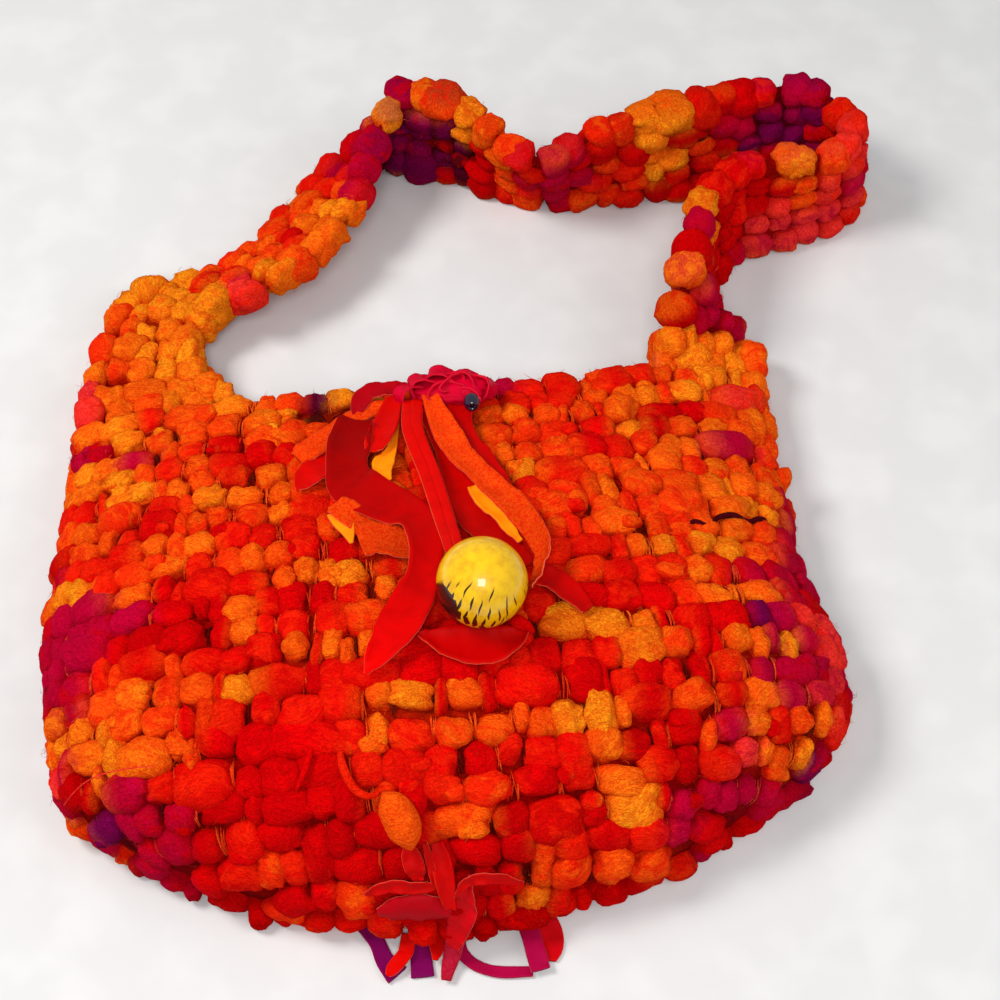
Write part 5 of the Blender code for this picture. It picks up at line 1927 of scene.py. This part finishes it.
@dataclass
class DarkBead:
    """The small dark bead beside the knot, pierced along its thread."""

    middle: Row = (18.6, 77.0, 51.0)
    radius: float = 3.1
    hole: float = 0.7
    around: int = 28
    through: int = 20

    def build(self) -> bpy.types.Object:
        """Build the bead.

        Returns:
            The object.
        """
        turns, loop = circle(self.around)[:, None], circle(self.through)
        out = (self.radius + self.hole) / 2 + (self.radius - self.hole) / 2 * np.cos(loop)
        rise = self.radius * 0.88 * np.sin(loop) * np.ones((self.around, 1))
        points = np.stack([out * np.cos(turns), rise, out * np.sin(turns)], axis=2).reshape(-1, 3)
        index = numbers(self.around, self.through)
        ahead, over = np.roll(index, -1, axis=0), np.roll(index, -1, axis=1)
        quads = np.stack([index, over, np.roll(ahead, -1, axis=1), ahead], axis=2).reshape(-1, 4)
        bundle = Bundle("bead_dark")
        bundle.add(points + np.array(self.middle), quads)
        return bundle.build(PlainFinish("dark_glass", (0.05, 0.05, 0.14), (0.12, 0.04, 0.16), 500.0, 0.06, 1.0).make())


@dataclass
class Grounds:
    """The ground inside the yarn's wall and the core of the strap, in their yarn's dyes darkened as painted shade of
    the gaps between the puffs.
    """

    pouch: PouchForm
    strap: StrapForm
    chart: DyeChart
    depth: float = 4.1
    thickness: float = 1.6
    last_row: float = 0.93
    # How many rows it has, and which points of each are taken
    rings: int = 26
    skip: int = 3
    core_wide: float = 0.86
    core_deep: float = 0.34
    core_rings: int = 90
    core_sides: int = 16
    # The tint of painted shade that darkens the ground's dyes
    shade: Row = (0.42, 0.10, 0.14)

    def add(self, bundle: Bundle, points: Array, quads: Array, tris: Array, dyes: Array) -> None:
        """Add a ground in its yarn's dyes, darkened as painted shade."""
        dark = dyes * np.array(self.shade)
        bundle.add(points, quads, tris, dye=dark, streak=dark * 0.6, lay=points, crest=np.float64(0.5))

    def build_pouch(self, finish: bpy.types.Material) -> bpy.types.Object:
        """Build the closed thin shell of the pouch, open at its mouth.

        Args:
            finish: its felt.

        Returns:
            The object.
        """
        outer, inner = [], []
        for share in np.linspace(0.01, self.last_row, self.rings):
            here, _, _, outward, _ = self.pouch.frames(float(share))
            outer.append((here - outward * self.depth)[::self.skip])
            inner.append((here - outward * (self.depth + self.thickness))[::self.skip])
        rings = inner[::-1] + outer
        sides, count = len(rings[0]), len(rings)
        points = np.concatenate(rings)
        index = numbers(count, sides)
        quads = [walls(index)]
        half, tris = sides // 2, []
        for line, turn in ((index[0], -1), (index[-1], 1)):
            caps = np.array([(line[i], line[i + 1], line[sides - i - 1], line[-i % sides]) for i in range(1, half - 1)])
            quads.append(caps[:, ::turn])
            tris += [(line[0], line[1], line[-1])[::turn], (line[half - 1], line[half], line[half + 1])[::turn]]
        bundle = yarn_bundle("ground_pouch")
        mirrored = points.copy()
        mirrored[:, 0] *= np.where(points[:, 2] < 12, -1, 1)
        dyes = self.chart.around(mirrored[:, :2], self.chart.lumps, self.chart.lump_dyes)
        self.add(bundle, points, np.concatenate(quads), np.array(tris), dyes)
        return bundle.build(finish)

    def build_strap(self, finish: bpy.types.Material) -> bpy.types.Object:
        """Build the strap's core.

        Args:
            finish: its felt.

        Returns:
            The object.
        """
        lows, highs, thick, along = self.strap.stations(np.linspace(0.0, 1.0, self.core_rings))
        across = unit(highs - lows)
        forward = square(along, across)
        face = np.cross(across, forward)
        turns = -circle(self.core_sides)
        middle, half = (lows + highs) / 2, (highs - lows) / 2 * self.core_wide
        wide, deep = np.sign(np.cos(turns)) * np.abs(np.cos(turns)) ** 0.6, np.sin(turns)
        rings = middle[:, None] + half[:, None] * wide[None, :, None]
        rings = rings + face[:, None] * (thick * self.core_deep / 2)[:, None, None] * deep[None, :, None]
        points = np.concatenate([rings.reshape(-1, 3), middle[:1], middle[-1:]])
        points[:, 2] = np.maximum(points[:, 2], 1.0)
        bundle = yarn_bundle("ground_strap")
        dyes = self.chart.around(points, self.chart.strap, self.chart.strap_dyes)
        self.add(bundle, points, *skin(self.core_rings, self.core_sides), dyes)
        return bundle.build(finish)


@dataclass(frozen=True)
class Lamp:
    """A soft box: its place, what it faces, its size and its power."""

    name: str
    place: Row
    faces: Row
    size: tuple[float, float]
    power: float
    colour: tuple[float, float, float] = (1.0, 1.0, 1.0)
    shines: bool = False

    def hang(self) -> None:
        """Add the lamp to the scene."""
        light = bpy.data.lights.new(self.name, "AREA")
        light.shape = "RECTANGLE"
        light.size, light.size_y = self.size
        light.energy = self.power
        light.color = self.colour
        item = add_object(self.name, light)
        item.location = self.place
        way = Vector(self.faces) - Vector(self.place)
        item.rotation_euler = way.to_track_quat("-Z", "Y").to_euler()
        item.visible_glossy = self.shines


@dataclass
class Studio:
    """The floor, the lamps and the camera."""

    target: Row = (0.026, 0.046, 0.030)
    distance: float = 0.670
    elevation: float = 55.0
    azimuth: float = -6.0
    lens: float = 64.44
    sensor: float = 36.0
    room: float = 0.38
    lamps: tuple[Lamp, ...] = (
        Lamp("key", (-0.75, 0.20, 1.05), (0.0, 0.05, 0.0), (0.45, 0.45), 13.5, (1.0, 0.98, 0.95)),
        Lamp("front", (-0.05, -0.62, 1.00), (0.02, 0.0, 0.03), (0.34, 0.34), 6.5, shines=True),
        Lamp("fill", (0.95, -0.35, 0.80), (0.0, 0.05, 0.0), (0.9, 0.9), 5.5, (0.96, 0.98, 1.0)),
    )

    def floor(self) -> bpy.types.Object:
        """Lay the floor."""
        bundle = Bundle("studio_floor")
        side = 3000.0
        points = np.array([(-side, -side, 0.0), (side, -side, 0.0), (side, side, 0.0), (-side, side, 0.0)])
        bundle.add(points, np.array([(0, 1, 2, 3)]))
        item = bundle.build(PlainFinish("studio_floor", (0.78, 0.78, 0.78), (0.80, 0.80, 0.80), 40.0, 0.85).make())
        return item

    def camera(self) -> None:
        """Set the camera up at the photo's angle."""
        up, round_ = math.radians(self.elevation), math.radians(self.azimuth)
        back = Vector((math.sin(round_) * math.cos(up), -math.cos(round_) * math.cos(up), math.sin(up)))
        data = bpy.data.cameras.new("camera")
        data.lens, data.sensor_width = self.lens, self.sensor
        item = add_object("camera", data)
        item.location = Vector(self.target) + back * self.distance
        item.rotation_mode = "QUATERNION"
        item.rotation_quaternion = (-back).to_track_quat("-Z", "Y")
        bpy.context.scene.camera = item

    def light(self) -> None:
        """Hang the lamps and set the room's own light."""
        world = bpy.data.worlds.new("room")
        world.use_nodes = True
        sky = world.node_tree.nodes["Background"]
        sky.inputs["Color"].default_value = (1.0, 1.0, 1.0, 1.0)
        sky.inputs["Strength"].default_value = self.room
        bpy.context.scene.world = world
        for lamp in self.lamps:
            lamp.hang()
        bpy.context.scene.view_settings.view_transform = "Standard"


LOOSE_LOCKS: tuple[LooseLock, ...] = (
    LooseLock(((-25, -79, 2.5, 0.6), (-22.5, -82, 4.5, 5.0), (-20, -86, 5.0, 6.0), (-18.5, -90, 4.5, 5.2),
               (-17.5, -94, 2.5, 0.6)), Dye.ORANGE),
    LooseLock(((-38, -66, 0.5, 1.0), (-37, -71, 2.4, 1.5), (-34, -77, 2.8, 1.4), (-29.5, -79.5, 2.2, 1.1),
               (-26, -79, 0.8, 0.5)), Dye.VERMILION),
    LooseLock(((-47, -63, 0.4, 0.8), (-49, -69, 2.2, 1.2), (-53, -75, 0.8, 0.6)), Dye.RED),
    LooseLock(((21, -28, 3.0, 1.0), (24, -30, 5.0, 2.4), (27, -31, 3.4, 1.8), (29, -32, 1.5, 0.7)), Dye.RED),
    # Painted shade: the maroon lock is a dark strand sunk along the slit between two rows
    LooseLock(((88, 14, -2.0, 0.5), (93, 17.5, -0.2, 0.9), (98, 16, 0.2, 1.0), (103, 20.5, 0.2, 1.0),
               (109, 22.5, 0.3, 1.1), (114, 20.5, 0.2, 1.0), (119, 23, 0.3, 1.2), (124, 26, -1.6, 0.6)), Dye.MAROON),
    LooseLock(((-130, -60, 3.5, 0.22), (-119, -58, 5.5, 0.22), (-108, -58.5, 5.4, 0.20), (-98, -60, 4.0, 0.12)),
              Dye.SALMON),
)


def stand(piece: bpy.types.Object, slot: str, *nodes: str) -> bpy.types.Object:
    """Hang a piece under the root and hide the solids that it stands for.

    Args:
        piece: the piece.
        slot: the record's finish that it has; not used.
        *nodes: the nodes that it stands for.

    Returns:
        The piece.
    """
    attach(piece, ROOT)
    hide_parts(*nodes)
    log.info("%s: %d faces", piece.name, len(piece.data.polygons))
    return piece


def main() -> None:
    """Build the purse, its parts in order, and the studio."""
    logging.basicConfig(level=logging.INFO, format="%(message)s")
    studio = Studio()
    studio.camera()
    studio.floor()
    studio.light()
    pouch, strap, chart = PouchForm(), StrapForm(), DyeChart()
    felt = FeltFinish("felted_yarn").make()
    leather = LeatherFinish("dyed_leather").make()
    rng = np.random.default_rng(5)

    puffs, on_front, gaps = PouchYarn(pouch, chart).place()
    front, back = puffs.pick(on_front), puffs.pick(~on_front)
    strap_puffs, strap_gaps = StrapYarn(strap, chart).place()
    names = ("front_upper", "front_lower", "back", "strap", "ties", "fibres", "strap_fibres")
    upper, lower, behind, band, ties, hairs, strap_hairs = (yarn_bundle("yarn_" + name) for name in names)
    shape = PuffShape(rings=14, sides=22)
    shape.lay(upper, front.pick(front.middle[:, 1] > 0), rng)
    shape.lay(lower, front.pick(front.middle[:, 1] <= 0), rng)
    for lock in LOOSE_LOCKS:
        lock.lay(lower, pouch)
    PuffShape(rings=10, sides=16).lay(behind, back, rng)
    PuffShape(rings=12, sides=18, both_faces=True).lay(band, strap_puffs, rng)
    YarnTies().lay(ties, gaps)
    YarnTies(shut_share=0.14, seed=39).lay(ties, strap_gaps)
    Fibres(each=9, seed=41).lay(hairs, front, False)
    Fibres(each=10, seed=43).lay(strap_hairs, strap_puffs, True)

    grounds = Grounds(pouch, strap, chart)
    ground_pouch = stand(grounds.build_pouch(felt), "body_yarn", "purse_body")
    ground_strap = stand(grounds.build_strap(felt), "strap_yarn", "shoulder_strap")
    yarns = [stand(item.build(felt), "body_yarn", "purse_body") for item in (upper, lower, behind, ties, hairs)]
    bands = [stand(item.build(felt), "strap_yarn", "shoulder_strap") for item in (band, strap_hairs)]

    slots = {entry["node"]: entry["material_slot"] for entry in frame["record"]["subparts"]}
    leathers = []
    for node, strips in {**FRONT_STRIPS, **HEM_STRIPS, "button_thong": THONG}.items():
        leathers.append(stand(leather_piece("leather_" + node, strips, pouch, leather), slots[node], node))
    leathers.append(stand(Knot().build(leather), "leather_red", "tie_knot"))
    stand(BallButton().build(), "ball_glaze", "ball_button")
    stand(DarkBead().build(), "dark_glass", "dark_bead")

    yarns + leathers


if __name__ == "__main__":
    main()
